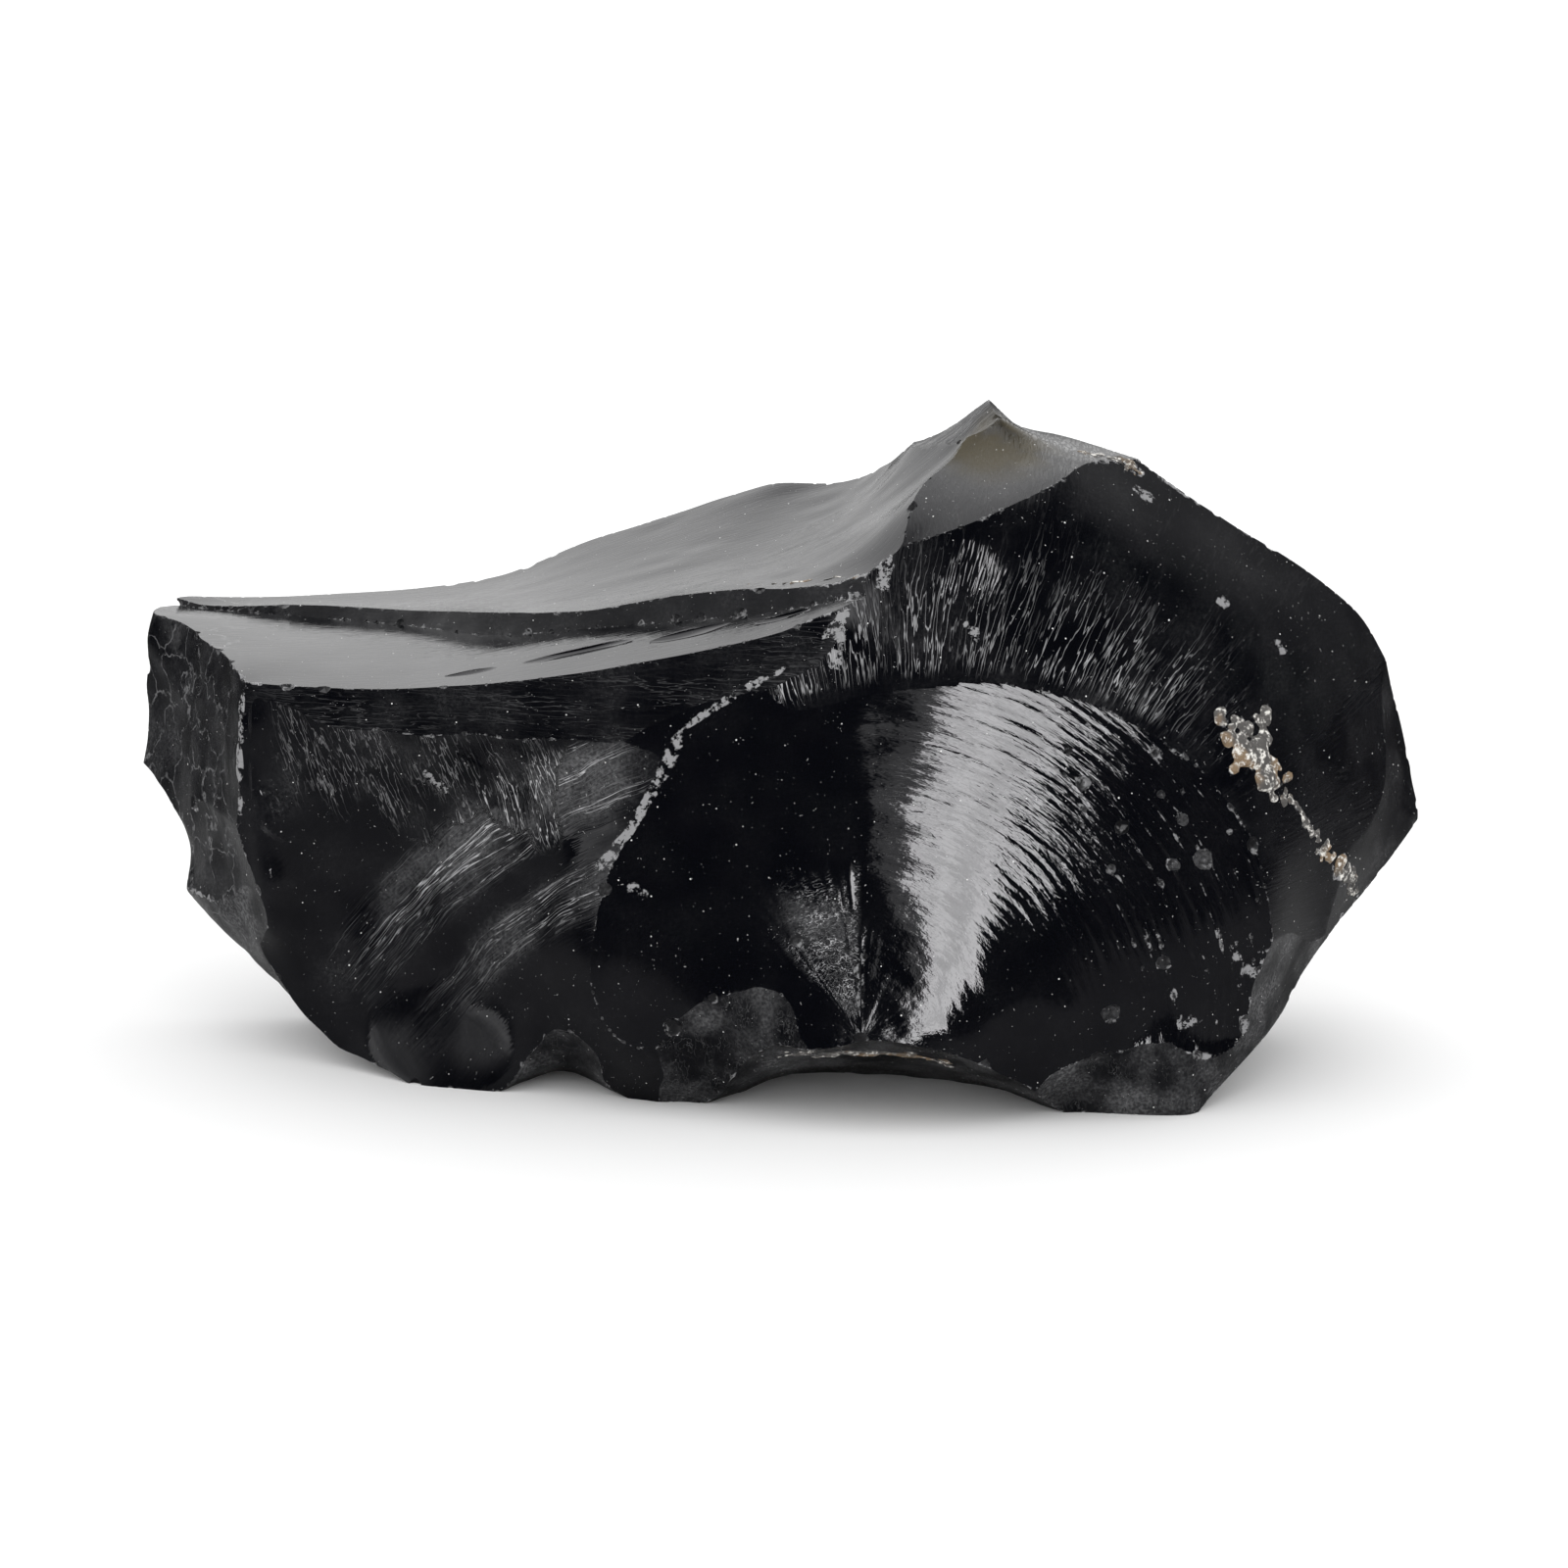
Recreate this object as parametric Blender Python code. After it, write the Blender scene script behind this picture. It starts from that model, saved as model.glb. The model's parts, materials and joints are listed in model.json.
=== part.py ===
"""Obsidian chunk: one piece of volcanic glass, broken all round by curved fractures.

The stone starts as a block hulled over its named corners. Every fracture then takes a
flake off it: a smooth surface runs through a few of the corners, and a closed flake that
stands on that surface is cut away. Where two fractures meet, the cuts leave a ridge.
Lengths in the tables are millimetres, +Z is up and the face with the big dome looks
along -Y. The origin is under the middle of the stone, on the plane that it rests on.
"""

import bmesh
import bpy
import numpy as np

MM = 0.001
STONE_NAME = "obsidian_chunk"
HEART = (1.0, 0.0, 26.0)      # a point deep inside the stone: every fracture faces away from it
BLOCK_ALLOWANCE = 3.0         # how far the uncut block stands proud of the corners
POINT_SPACING = 2.7           # distance between mesh points across a fracture
FLAKE_MARGIN = 18.0           # how far a flake runs on past the outermost corners of its fracture
FLAKE_THICKNESS = 26.0        # thickness of a flake over the highest point of its fracture
FADE_LIFT = 0.010             # how fast a fracture turns out of the stone past its own corners
PLATE_SLACK = 0.5             # how loosely a fracture is held at its corners, 0 being exactly
LEVEL_LIMIT = 0.5             # a fracture flatter than this takes its axes from +Y, not from +Z
LEAST_DISTANCE = 1e-6         # keeps the logarithm finite at a corner itself

STONE_COLOUR = (0.010, 0.010, 0.012, 1.0)
STONE_ROUGHNESS = 0.08
STONE_IOR = 1.5

CORNERS = {
    # far edge of the upper deck, from the left end to the peak
    "far_left": (-63.0, 25.6, 42.7),
    "far_a": (-51.1, 26.1, 42.7),
    "far_b": (-37.7, 26.6, 43.4),
    "far_c": (-28.3, 26.6, 45.0),
    "far_d": (-19.9, 26.6, 48.5),
    "far_e": (-10.6, 25.6, 51.6),
    "far_f": (-0.2, 23.6, 55.1),
    "far_g": (6.9, 20.6, 56.0),
    "far_h": (11.5, 16.6, 58.6),
    "far_i": (14.4, 12.1, 62.0),
    "peak": (21.7, 5.6, 67.5),
    "peak_a": (15.8, 6.6, 62.3),
    "peak_b": (18.5, 2.1, 63.4),
    # lip of the upper deck, along the top of the step
    "lip_a": (-61.4, 24.1, 42.3),
    "lip_b": (-46.5, 19.6, 43.1),
    "lip_c": (-37.9, 13.1, 44.0),
    "lip_d": (-29.3, 5.1, 45.5),
    "lip_e": (-19.0, -2.4, 47.3),
    "lip_f": (-11.0, -5.4, 49.4),
    "lip_g": (-5.1, -7.9, 50.5),
    "lip_h": (0.8, -10.4, 51.4),
    "lip_i": (6.6, -11.9, 52.7),
    "lip_j": (9.5, -12.4, 54.0),
    # foot of the step, at the back of the lower deck
    "foot_a": (-60.8, 23.6, 41.9),
    "foot_b": (-46.5, 18.6, 41.8),
    "foot_c": (-35.7, 10.1, 42.7),
    "foot_d": (-29.3, 4.1, 43.3),
    "foot_e": (-19.0, -2.9, 45.6),
    "foot_f": (-9.0, -7.4, 47.4),
    "foot_g": (0.8, -11.4, 49.3),
    "foot_h": (6.1, -13.4, 50.7),
    # left edge of the lower deck
    "left_a": (-64.7, 16.6, 42.7),
    "left_b": (-61.9, 14.1, 42.5),
    "left_c": (-58.1, 6.6, 42.1),
    "left_d": (-54.6, -4.4, 41.5),
    "near_left": (-53.4, -7.4, 41.0),
    # front edge of the lower deck
    "brow_a": (-48.3, -9.4, 41.1),
    "brow_b": (-38.3, -11.9, 41.4),
    "brow_c": (-28.4, -14.2, 42.5),
    "brow_d": (-18.6, -15.6, 44.0),
    "brow_e": (-8.9, -16.2, 45.9),
    "brow_f": (0.8, -16.2, 48.2),
    "brow_g": (6.4, -15.6, 50.3),
    # lower edge of the brow
    "under_a": (-52.9, -7.6, 40.1),
    "under_b": (-43.4, -10.9, 36.9),
    "under_c": (-34.4, -12.9, 36.7),
    "under_d": (-26.5, -15.4, 36.8),
    "under_e": (-18.6, -17.0, 36.6),
    "under_f": (-13.8, -17.8, 37.4),
    "junction": (-9.2, -18.6, 38.5),
    # brow against the tall wall
    "rise_a": (-3.1, -18.7, 41.8),
    "rise_b": (3.7, -17.9, 45.1),
    "rise_c": (6.4, -17.1, 48.4),
    # ridge between the upper deck and the cap
    "cap_a": (22.4, 1.1, 66.5),
    "cap_b": (19.0, -1.4, 64.8),
    "cap_c": (17.3, -3.9, 63.0),
    "cap_d": (15.0, -6.9, 61.6),
    "cap_e": (13.5, -9.9, 59.7),
    "cap_f": (12.6, -12.4, 57.3),
    "cap_g": (12.3, -12.9, 56.3),
    # cap against the tall wall
    "top_a": (15.3, -13.9, 57.3),
    "top_b": (20.2, -13.9, 59.2),
    "top_c": (26.0, -11.4, 61.3),
    "top_d": (29.1, -8.4, 62.4),
    "top_e": (31.2, -4.4, 62.8),
    "cap_back_a": (24.2, 5.6, 65.1),
    "cap_back_b": (28.3, 7.1, 63.7),
    "cap_back_c": (33.2, 5.6, 62.6),
    # crest that falls to the right and turns under
    "crest_a": (36.5, 1.6, 62.3),
    "crest_b": (41.6, 0.6, 58.6),
    "crest_c": (46.5, 1.6, 55.2),
    "crest_d": (53.8, 3.6, 50.4),
    "crest_e": (59.6, 6.1, 45.3),
    "crest_f": (63.6, 8.6, 36.9),
    "crest_g": (66.0, 9.6, 27.3),
    "crest_h": (66.7, 8.6, 22.8),
    "crest_i": (61.1, 3.6, 16.8),
    "crest_j": (55.7, -1.4, 12.4),
    # inner line of the right edge facet
    "edge_a": (62.6, 6.6, 38.4),
    "edge_b": (62.8, 4.6, 31.7),
    "edge_c": (62.0, 1.6, 26.7),
    "edge_d": (60.4, -1.4, 23.8),
    "edge_e": (58.5, -4.4, 23.0),
    # tall wall over and beside the dome
    "wall_a": (20.1, -16.0, 51.6),
    "wall_b": (31.8, -14.9, 52.3),
    "wall_c": (42.7, -11.4, 49.6),
    "wall_d": (53.1, -5.9, 42.3),
    "wall_e": (53.5, -10.4, 31.2),
    "wall_f": (53.6, -10.9, 21.2),
    "wall_g": (34.7, -16.8, 43.8),
    "wall_h": (13.4, -16.2, 48.7),
    # rim of the dome, the ridge it makes with the tall wall
    "rim_a": (-3.1, -19.1, 38.9),
    "rim_b": (3.7, -19.5, 41.3),
    "rim_c": (10.9, -19.7, 43.0),
    "rim_d": (18.2, -19.9, 43.8),
    "rim_e": (25.9, -20.1, 43.1),
    "rim_f": (32.6, -20.2, 41.2),
    "rim_g": (39.0, -20.4, 37.5),
    "rim_h": (44.4, -20.4, 32.2),
    "rim_i": (47.9, -20.6, 25.8),
    "rim_j": (49.5, -20.0, 17.6),
    # dome, which opens upwards like a fan from the point of the blow
    "blow": (8.5, -27.2, 9.5),
    "dome_a": (-5.0, -21.9, 24.1),
    "dome_b": (-5.0, -23.4, 16.0),
    "dome_c": (-3.1, -20.4, 32.7),
    "dome_d": (4.2, -20.0, 39.6),
    "dome_e": (10.7, -20.1, 41.1),
    "dome_f": (17.7, -20.4, 41.5),
    "dome_g": (24.4, -20.8, 40.1),
    "dome_h": (30.7, -21.0, 38.2),
    "dome_i": (36.3, -21.1, 34.4),
    "dome_j": (41.1, -21.2, 29.7),
    "dome_k": (44.2, -21.4, 24.2),
    "dome_l": (45.9, -21.4, 17.5),
    "dome_m": (6.1, -23.4, 25.5),
    "dome_n": (13.3, -23.6, 26.6),
    "dome_o": (20.6, -23.9, 25.5),
    "dome_p": (26.4, -24.4, 20.8),
    "dome_q": (28.9, -24.9, 13.9),
    "dome_r": (10.5, -25.8, 16.2),
    "dome_s": (28.9, -25.2, 9.5),
    "dome_t": (36.7, -23.6, 10.7),
    "dome_u": (39.7, -23.0, 9.5),
    "dome_v": (43.8, -20.4, 9.6),
    # left side of the dome
    "spine_a": (-10.8, -18.6, 35.3),
    "spine_b": (-13.3, -19.3, 29.5),
    "spine_c": (-16.2, -19.6, 25.5),
    "spine_d": (-17.7, -20.1, 20.6),
    "spine_e": (-18.5, -20.7, 13.7),
    "spine_f": (-15.3, -21.2, 6.8),
    "spine_g": (-13.5, -17.3, 0.2),
    # left hollow: its left edge, its lower edge and its floor
    "edge_l_a": (-53.5, -7.9, 35.7),
    "edge_l_b": (-54.2, -6.6, 30.3),
    "edge_l_c": (-54.2, -5.6, 23.9),
    "edge_l_d": (-53.3, -1.9, 12.3),
    "low_a": (-50.5, -2.9, 8.1),
    "low_b": (-47.4, -4.4, 4.4),
    "low_c": (-44.3, -6.4, 2.3),
    "low_d": (-38.0, -11.4, 0.1),
    "low_e": (-35.0, -12.7, 0.1),
    "low_f": (-28.9, -14.4, 0.1),
    "low_h": (-16.8, -16.6, 1.1),
    "hollow_a": (-51.7, -6.4, 30.2),
    "hollow_b": (-49.5, -7.4, 26.9),
    "hollow_c": (-50.7, -7.3, 20.2),
    "hollow_d": (-51.6, -6.0, 14.7),
    "hollow_e": (-45.5, -5.8, 20.9),
    "hollow_f": (-42.2, -6.3, 9.6),
    "hollow_g": (-33.9, -9.1, 20.7),
    "hollow_h": (-24.7, -13.3, 26.9),
    "hollow_i": (-38.8, -7.8, 29.6),
    "hollow_j": (-24.8, -14.2, 11.9),
    "hollow_k": (-18.7, -16.0, 29.6),
    "hollow_l": (-32.0, -9.9, 6.5),
    "hollow_m": (-30.9, -8.7, 26.7),
    "hollow_n": (-25.8, -10.6, 31.0),
    "hollow_o": (-19.7, -15.4, 30.2),
    "hollow_p": (-37.3, -7.0, 19.1),
    "hollow_q": (-38.9, -6.8, 25.2),
    "hollow_r": (-22.8, -14.6, 22.2),
    # left end: ridges between its small facets, and its outer edge
    "end_a": (-59.3, 7.6, 42.2),
    "end_b": (-58.6, 5.6, 38.7),
    "end_c": (-59.3, 6.6, 36.2),
    "end_d": (-64.7, 17.6, 33.8),
    "end_e": (-59.5, 5.6, 29.3),
    "end_f": (-60.0, 5.6, 25.7),
    "end_g": (-54.3, -6.9, 35.5),
    "end_h": (-54.4, -6.4, 30.2),
    "end_i": (-55.2, -4.6, 25.7),
    "end_j": (-56.8, 2.6, 41.2),
    "end_k": (-54.5, -4.9, 39.8),
    "out_a": (-66.1, 18.6, 39.9),
    "out_b": (-66.3, 19.6, 34.4),
    "out_c": (-66.7, 19.6, 29.1),
    "out_d": (-65.2, 16.6, 24.5),
    "out_e": (-62.8, 12.6, 22.6),
    "out_f": (-60.9, 8.6, 21.3),
    "out_g": (-60.7, 7.6, 16.8),
    "out_h": (-61.4, 7.6, 15.7),
    "out_i": (-57.8, 3.6, 13.6),
    "nub_a": (-54.3, -5.3, 23.3),
    "nub_b": (-54.4, -3.4, 19.2),
    # heel: the small facet low on the left of the dome
    "heel_a": (-14.2, -16.8, 0.1),
    "heel_b": (-12.9, -22.0, 6.0),
    "heel_c": (-9.9, -22.9, 9.8),
    "heel_d": (-5.0, -23.9, 13.1),
    "heel_e": (-1.1, -24.5, 14.3),
    "heel_f": (1.0, -25.4, 11.5),
    "heel_g": (0.5, -25.7, 8.5),
    "heel_h": (-4.1, -21.0, 4.0),
    "heel_i": (-6.6, -18.2, 0.5),
    # arch under the dome
    "arch_a": (2.5, -26.8, 8.2),
    "arch_b": (10.5, -27.4, 9.4),
    "arch_c": (20.1, -27.1, 6.8),
    "arch_d": (25.1, -24.6, 3.7),
    "arch_e": (0.8, -7.9, 0.0),
    "arch_f": (8.8, -7.9, 0.1),
    "arch_g": (16.8, -9.9, 0.1),
    "arch_h": (23.6, -13.9, 0.1),
    # small arch under the left hollow
    "nick_a": (-27.4, -14.2, 0.5),
    "nick_b": (-24.9, -14.3, 3.7),
    "nick_c": (-21.4, -15.7, 6.7),
    "nick_d": (-18.3, -18.0, 5.3),
    "nick_e": (-16.8, -16.6, 1.5),
    "nick_f": (-21.8, -6.5, 0.0),
    "nick_g": (-24.7, -7.9, 0.0),
    # toe: the facet low on the right
    "toe_a": (27.7, -21.2, 0.6),
    "toe_b": (32.9, -23.8, 6.9),
    "toe_c": (39.7, -23.4, 7.7),
    "toe_d": (46.1, -18.9, 6.4),
    "toe_e": (49.2, -14.4, 5.8),
    "toe_f": (41.4, -21.4, 0.0),
    "toe_g": (43.5, -19.4, 1.1),
    # facet between the dome and the lower right edge
    "side_a": (49.6, -19.6, 17.3),
    "side_b": (53.1, -8.9, 10.4),
    "side_c": (51.5, -10.4, 7.7),
    "side_d": (48.1, -18.4, 12.6),
    "side_e": (55.7, -6.4, 14.3),
    # back and underside
    "back_a": (-39.2, 21.1, 25.0),
    "back_b": (-57.2, 20.6, 20.0),
    "back_c": (-46.2, 14.6, 3.0),
    "back_d": (-27.2, 18.1, 0.0),
    "back_e": (-8.2, 27.1, 35.0),
    "back_f": (-6.2, 25.1, 18.0),
    "back_g": (-7.2, 20.1, 0.0),
    "back_h": (9.8, 23.1, 33.0),
    "back_i": (12.8, 23.1, 15.0),
    "back_j": (21.8, 17.6, 44.0),
    "back_k": (20.8, 19.6, 0.0),
    "back_l": (28.8, 13.6, 52.0),
    "back_m": (32.8, 19.6, 37.0),
    "back_n": (34.8, 22.1, 22.0),
    "back_o": (33.8, 18.1, 3.0),
    "back_p": (45.8, 13.6, 38.0),
    "back_q": (48.8, 18.6, 20.0),
    "back_r": (60.8, 13.1, 21.0),
    "back_s": (50.8, 9.6, 5.0),
    "back_t": (56.8, 4.6, 12.0),
    "out_j": (-65.2, 23.1, 41.0),
    "nook_a": (-60.2, 15.1, 19.5),
    "nook_b": (-58.2, 19.6, 18.5),
    "nook_c": (-59.7, 13.6, 15.0),
    "base_a": (42.8, -18.4, 0.0),
    "base_b": (43.8, 2.6, 0.0),
    "base_c": (37.8, 13.6, 0.0),
    "base_d": (-39.2, -5.4, 0.0),
    "base_e": (-40.2, 10.6, 0.0),
    # points in the air, which keep a fracture clear of the stone past its own ridge
    "clear_a": (12.8, -27.4, 44.0),
    "clear_b": (2.8, -28.4, 37.0),
    "clear_c": (17.8, -23.4, 51.0),
    "clear_d": (-58.2, 1.6, 46.0),
    "clear_e": (-34.2, -11.4, 47.5),
    "clear_f": (-7.2, -17.4, 52.0),
    "clear_g": (21.8, 4.6, 70.0),
    "clear_h": (2.8, 8.6, 61.0),
    "clear_i": (36.8, -26.4, 2.0),
    "clear_j": (46.8, -23.4, 2.0),
    "clear_k": (-67.9, 18.6, 42.0),
    "clear_l": (-62.2, 5.6, 26.0),
    "clear_m": (9.8, -31.4, 9.0),
    "clear_n": (20.8, -29.4, 2.0),
    "clear_o": (-70.2, 20.6, 29.0),
    "clear_p": (-68.7, 15.6, 29.0),
}

# Each fracture, in the order that the flakes come off, with the corners that it runs through.
FRACTURES = {
    "upper_deck": "far_left far_a far_b far_c far_d far_e far_f far_g far_h far_i peak_a peak_b"
    " lip_a lip_b lip_c lip_d lip_e lip_f lip_g lip_h lip_i lip_j cap_b cap_c cap_d cap_e cap_f"
    " cap_g clear_d clear_e clear_f clear_g",
    "peak_facet": "far_i peak peak_a peak_b cap_a cap_b clear_h",
    "cap": "cap_a cap_b cap_c cap_d cap_e cap_f cap_g top_a top_b top_c top_d top_e"
    " cap_back_a cap_back_b cap_back_c crest_a peak",
    "lower_deck": "foot_a foot_b foot_c foot_d foot_e foot_f foot_g foot_h left_a left_b left_c"
    " left_d near_left brow_a brow_b brow_c brow_d brow_e brow_f brow_g",
    "riser": "lip_a lip_b lip_c lip_d lip_e lip_f lip_g lip_h lip_i"
    " foot_a foot_b foot_c foot_d foot_e foot_f foot_g foot_h",
    "brow": "near_left brow_a brow_b brow_c brow_d brow_e brow_f brow_g"
    " under_a under_b under_c under_d under_e under_f junction rise_a rise_b rise_c"
    " clear_a clear_b clear_c",
    "wall": "cap_g top_a top_b top_c top_d top_e crest_a crest_b crest_c crest_d crest_e"
    " edge_a edge_b edge_c edge_d edge_e wall_a wall_b wall_c wall_d wall_e wall_f wall_g"
    " wall_h rise_a rise_b rise_c junction rim_a rim_b rim_c rim_d rim_e rim_f rim_g rim_h"
    " rim_i rim_j side_a side_e lip_j",
    "dome": "blow rim_a rim_b rim_c rim_d rim_e rim_f rim_g rim_h rim_i rim_j dome_a dome_b"
    " dome_c dome_d dome_e dome_f dome_g dome_h dome_i dome_j dome_k dome_l dome_m dome_n"
    " dome_o dome_p dome_q dome_r dome_s dome_t dome_u dome_v spine_a spine_b spine_c spine_d"
    " spine_e heel_b heel_c heel_d heel_e arch_a arch_b arch_c arch_d toe_b toe_c toe_d"
    " clear_i clear_j",
    "left_hollow": "under_a under_b under_c under_d under_e under_f junction"
    " spine_a spine_b spine_c spine_d spine_e spine_f spine_g"
    " edge_l_a edge_l_b edge_l_c edge_l_d low_a low_b low_c low_d low_e low_f low_h"
    " hollow_a hollow_b hollow_c hollow_d hollow_e hollow_f hollow_g hollow_h hollow_i"
    " hollow_j hollow_k hollow_l hollow_m hollow_n hollow_o hollow_p hollow_q hollow_r",
    "end_upper": "left_a left_b end_a end_b end_c end_d out_a out_b out_j clear_l",
    "end_middle": "end_a end_b end_c end_e end_f end_g end_h end_i end_j end_k near_left",
    "end_lower": "end_c end_d end_e end_f out_b out_c out_d out_e clear_k",
    "end_nub": "end_f end_i nub_a nub_b out_e out_f out_g out_h nook_a nook_b nook_c clear_o"
    " clear_p",
    "end_foot": "nub_b edge_l_d out_h out_i low_a low_b low_c base_d base_e back_c",
    "heel": "heel_a heel_b heel_c heel_d heel_e heel_f heel_g heel_h heel_i clear_m",
    "arch": "arch_a arch_b arch_c arch_d arch_e arch_f arch_g arch_h heel_g heel_h heel_i toe_a",
    "nick": "nick_a nick_b nick_c nick_d nick_e nick_f nick_g",
    "toe": "toe_a toe_b toe_c toe_d toe_e toe_f toe_g clear_n",
    "side": "side_a side_b side_c side_d side_e toe_e",
    "right_edge": "edge_a edge_b edge_c edge_d edge_e crest_f crest_g crest_h crest_i",
    "right_foot": "crest_h crest_i crest_j side_b side_c toe_e toe_g base_a base_b back_s back_t",
    "back_left": "far_left far_a far_b far_c far_d far_e out_a out_b out_c back_a back_b back_c"
    " back_d back_e back_f back_g",
    "back_middle": "far_e far_f far_g far_h far_i back_e back_f back_g back_h back_i"
    " back_j back_k back_l back_m back_n back_o",
    "back_right": "peak cap_back_a cap_back_b cap_back_c crest_a crest_b crest_c crest_d crest_e"
    " crest_f back_l back_m back_p back_n back_q back_r",
    "back_foot": "crest_g crest_h back_n back_o back_q back_r back_s back_t base_c",
}

# The two decks are steps of one fall: the lower deck's flake ends at the riser, which is
# the surface that its back stands on, so the two meet in a crease and not in a ridge.
SHARED_FLAKES = {"lower_deck": "riser"}

# Many flakes graze a ridge that is already there. The exact solver loses the whole stone on
# one or another of those cuts as the corners move, and the manifold solver holds on all.
SOLVER = "MANIFOLD"


def corner_points(names):
    return np.array([CORNERS[name] for name in names.split()])


def facing_axes(points):
    """Centre of the points and three axes: two across their best plane, one out of the stone."""
    centre = points.mean(axis=0)
    normal = np.linalg.svd(points - centre)[2][2]
    if normal @ (centre - HEART) < 0:
        normal = -normal
    across = np.cross((0.0, 0.0, 1.0), normal)
    if np.linalg.norm(across) < LEVEL_LIMIT:
        across = np.cross(normal, (0.0, 1.0, 0.0))
    across /= np.linalg.norm(across)
    return centre, np.array([across, np.cross(normal, across), normal])


def plate_bend(distance):
    """How a thin plate bends at this distance from a point that it is held at."""
    return distance**2 * np.log(np.maximum(distance, LEAST_DISTANCE))


class Fracture:
    """A smooth surface through some corners, as a height over their best plane."""

    def __init__(self, names):
        points = corner_points(names)
        self.centre, self.axes = facing_axes(points)
        local = (points - self.centre) @ self.axes.T
        self.held = local[:, :2]
        self.low = self.held.min(axis=0)
        self.high = self.held.max(axis=0)
        count = len(points)
        gaps = np.linalg.norm(self.held[:, None] - self.held[None], axis=2)
        flat = np.column_stack([np.ones(count), self.held])
        system = np.zeros((count + 3, count + 3))
        system[:count, :count] = plate_bend(gaps) + PLATE_SLACK * np.eye(count)
        system[:count, count:] = flat
        system[count:, :count] = flat.T
        self.weights = np.linalg.solve(system, np.append(local[:, 2], np.zeros(3)))

    def height(self, across):
        gaps = np.linalg.norm(across[:, None] - self.held[None], axis=2)
        count = len(self.held)
        smooth = plate_bend(gaps) @ self.weights[:count]
        smooth += self.weights[count] + across @ self.weights[count + 1 :]
        past = np.maximum(0, np.maximum(self.low - across, across - self.high))
        return smooth + FADE_LIFT * (past**2).sum(axis=1)

    def place(self, across, height):
        return self.centre + np.column_stack([across, height]) @ self.axes


def flake(name, collection):
    """The closed solid that stands on a fracture and comes off the stone with it."""
    fracture = Fracture(FRACTURES[name])
    low = fracture.low - FLAKE_MARGIN
    high = fracture.high + FLAKE_MARGIN
    steps = np.round((high - low) / POINT_SPACING).astype(int)
    mesh = bmesh.new()
    bmesh.ops.create_grid(mesh, x_segments=int(steps[0]), y_segments=int(steps[1]), size=0.5)
    rim = [edge for edge in mesh.edges if edge.is_boundary]
    walls = bmesh.ops.extrude_edge_only(mesh, edges=rim)["geom"]
    lid = {item for item in walls if isinstance(item, bmesh.types.BMVert)}
    across = np.array([vertex.co[:2] for vertex in mesh.verts])
    across = low + (across + 0.5) * (high - low)
    height = fracture.height(across)
    height[[vertex in lid for vertex in mesh.verts]] = height.max() + FLAKE_THICKNESS
    for vertex, place in zip(mesh.verts, fracture.place(across, height)):
        vertex.co = place * MM
    bmesh.ops.holes_fill(mesh, edges=[edge for edge in mesh.edges if edge.is_boundary], sides=0)
    bmesh.ops.recalc_face_normals(mesh, faces=mesh.faces)
    return new_object(name, mesh, collection)


def new_object(name, mesh, collection):
    data = bpy.data.meshes.new(name)
    mesh.to_mesh(data)
    mesh.free()
    made = bpy.data.objects.new(name, data)
    collection.objects.link(made)
    return made


def block(collection):
    """The uncut stone: the hull of every corner, a little proud of them and flat below."""
    corners = np.array(list(CORNERS.values()))
    outward = corners - HEART
    outward /= np.linalg.norm(outward, axis=1)[:, None]
    corners = corners + BLOCK_ALLOWANCE * outward
    corners[:, 2] = np.maximum(corners[:, 2], 0)
    mesh = bmesh.new()
    for corner in corners:
        mesh.verts.new(corner * MM)
    hull = bmesh.ops.convex_hull(mesh, input=mesh.verts)
    spare = set(hull["geom_interior"]) | set(hull["geom_unused"])
    bmesh.ops.delete(mesh, geom=[item for item in spare if isinstance(item, bmesh.types.BMVert)])
    bmesh.ops.recalc_face_normals(mesh, faces=mesh.faces)
    return new_object(STONE_NAME, mesh, collection)


def cut(target, cutter, operation):
    modifier = target.modifiers.new(cutter.name, "BOOLEAN")
    modifier.object = cutter
    modifier.operation = operation
    modifier.solver = SOLVER
    cutter.hide_render = True
    cutter.display_type = "WIRE"


def glass():
    material = bpy.data.materials.new("obsidian")
    material.use_nodes = True
    shader = material.node_tree.nodes["Principled BSDF"]
    shader.inputs["Base Color"].default_value = STONE_COLOUR
    shader.inputs["Roughness"].default_value = STONE_ROUGHNESS
    shader.inputs["IOR"].default_value = STONE_IOR
    return material


def new_collection(name):
    made = bpy.data.collections.new(name)
    bpy.context.scene.collection.children.link(made)
    return made


def main():
    for old in list(bpy.data.objects):
        bpy.data.objects.remove(old)
    stone = block(new_collection("obsidian chunk"))
    stone.data.materials.append(glass())
    flakes = new_collection("flakes")
    for name in FRACTURES:
        if name in SHARED_FLAKES.values():
            continue
        removed = flake(name, flakes)
        if name in SHARED_FLAKES:
            cut(removed, flake(SHARED_FLAKES[name], flakes), "INTERSECT")
        cut(stone, removed, "DIFFERENCE")


main()
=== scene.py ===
"""The obsidian chunk as it looks: its fine stone, the glass, and the floor, light and camera.

The chunk is one piece of volcanic glass that lost flakes on every side, until only curved
fracture faces were left. Each section names the corners that its faces run through, in
millimetres, and shapes the flake that comes off each face. The block is broken at the end.
"""

import itertools
import json
import math
from typing import NamedTuple

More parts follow.
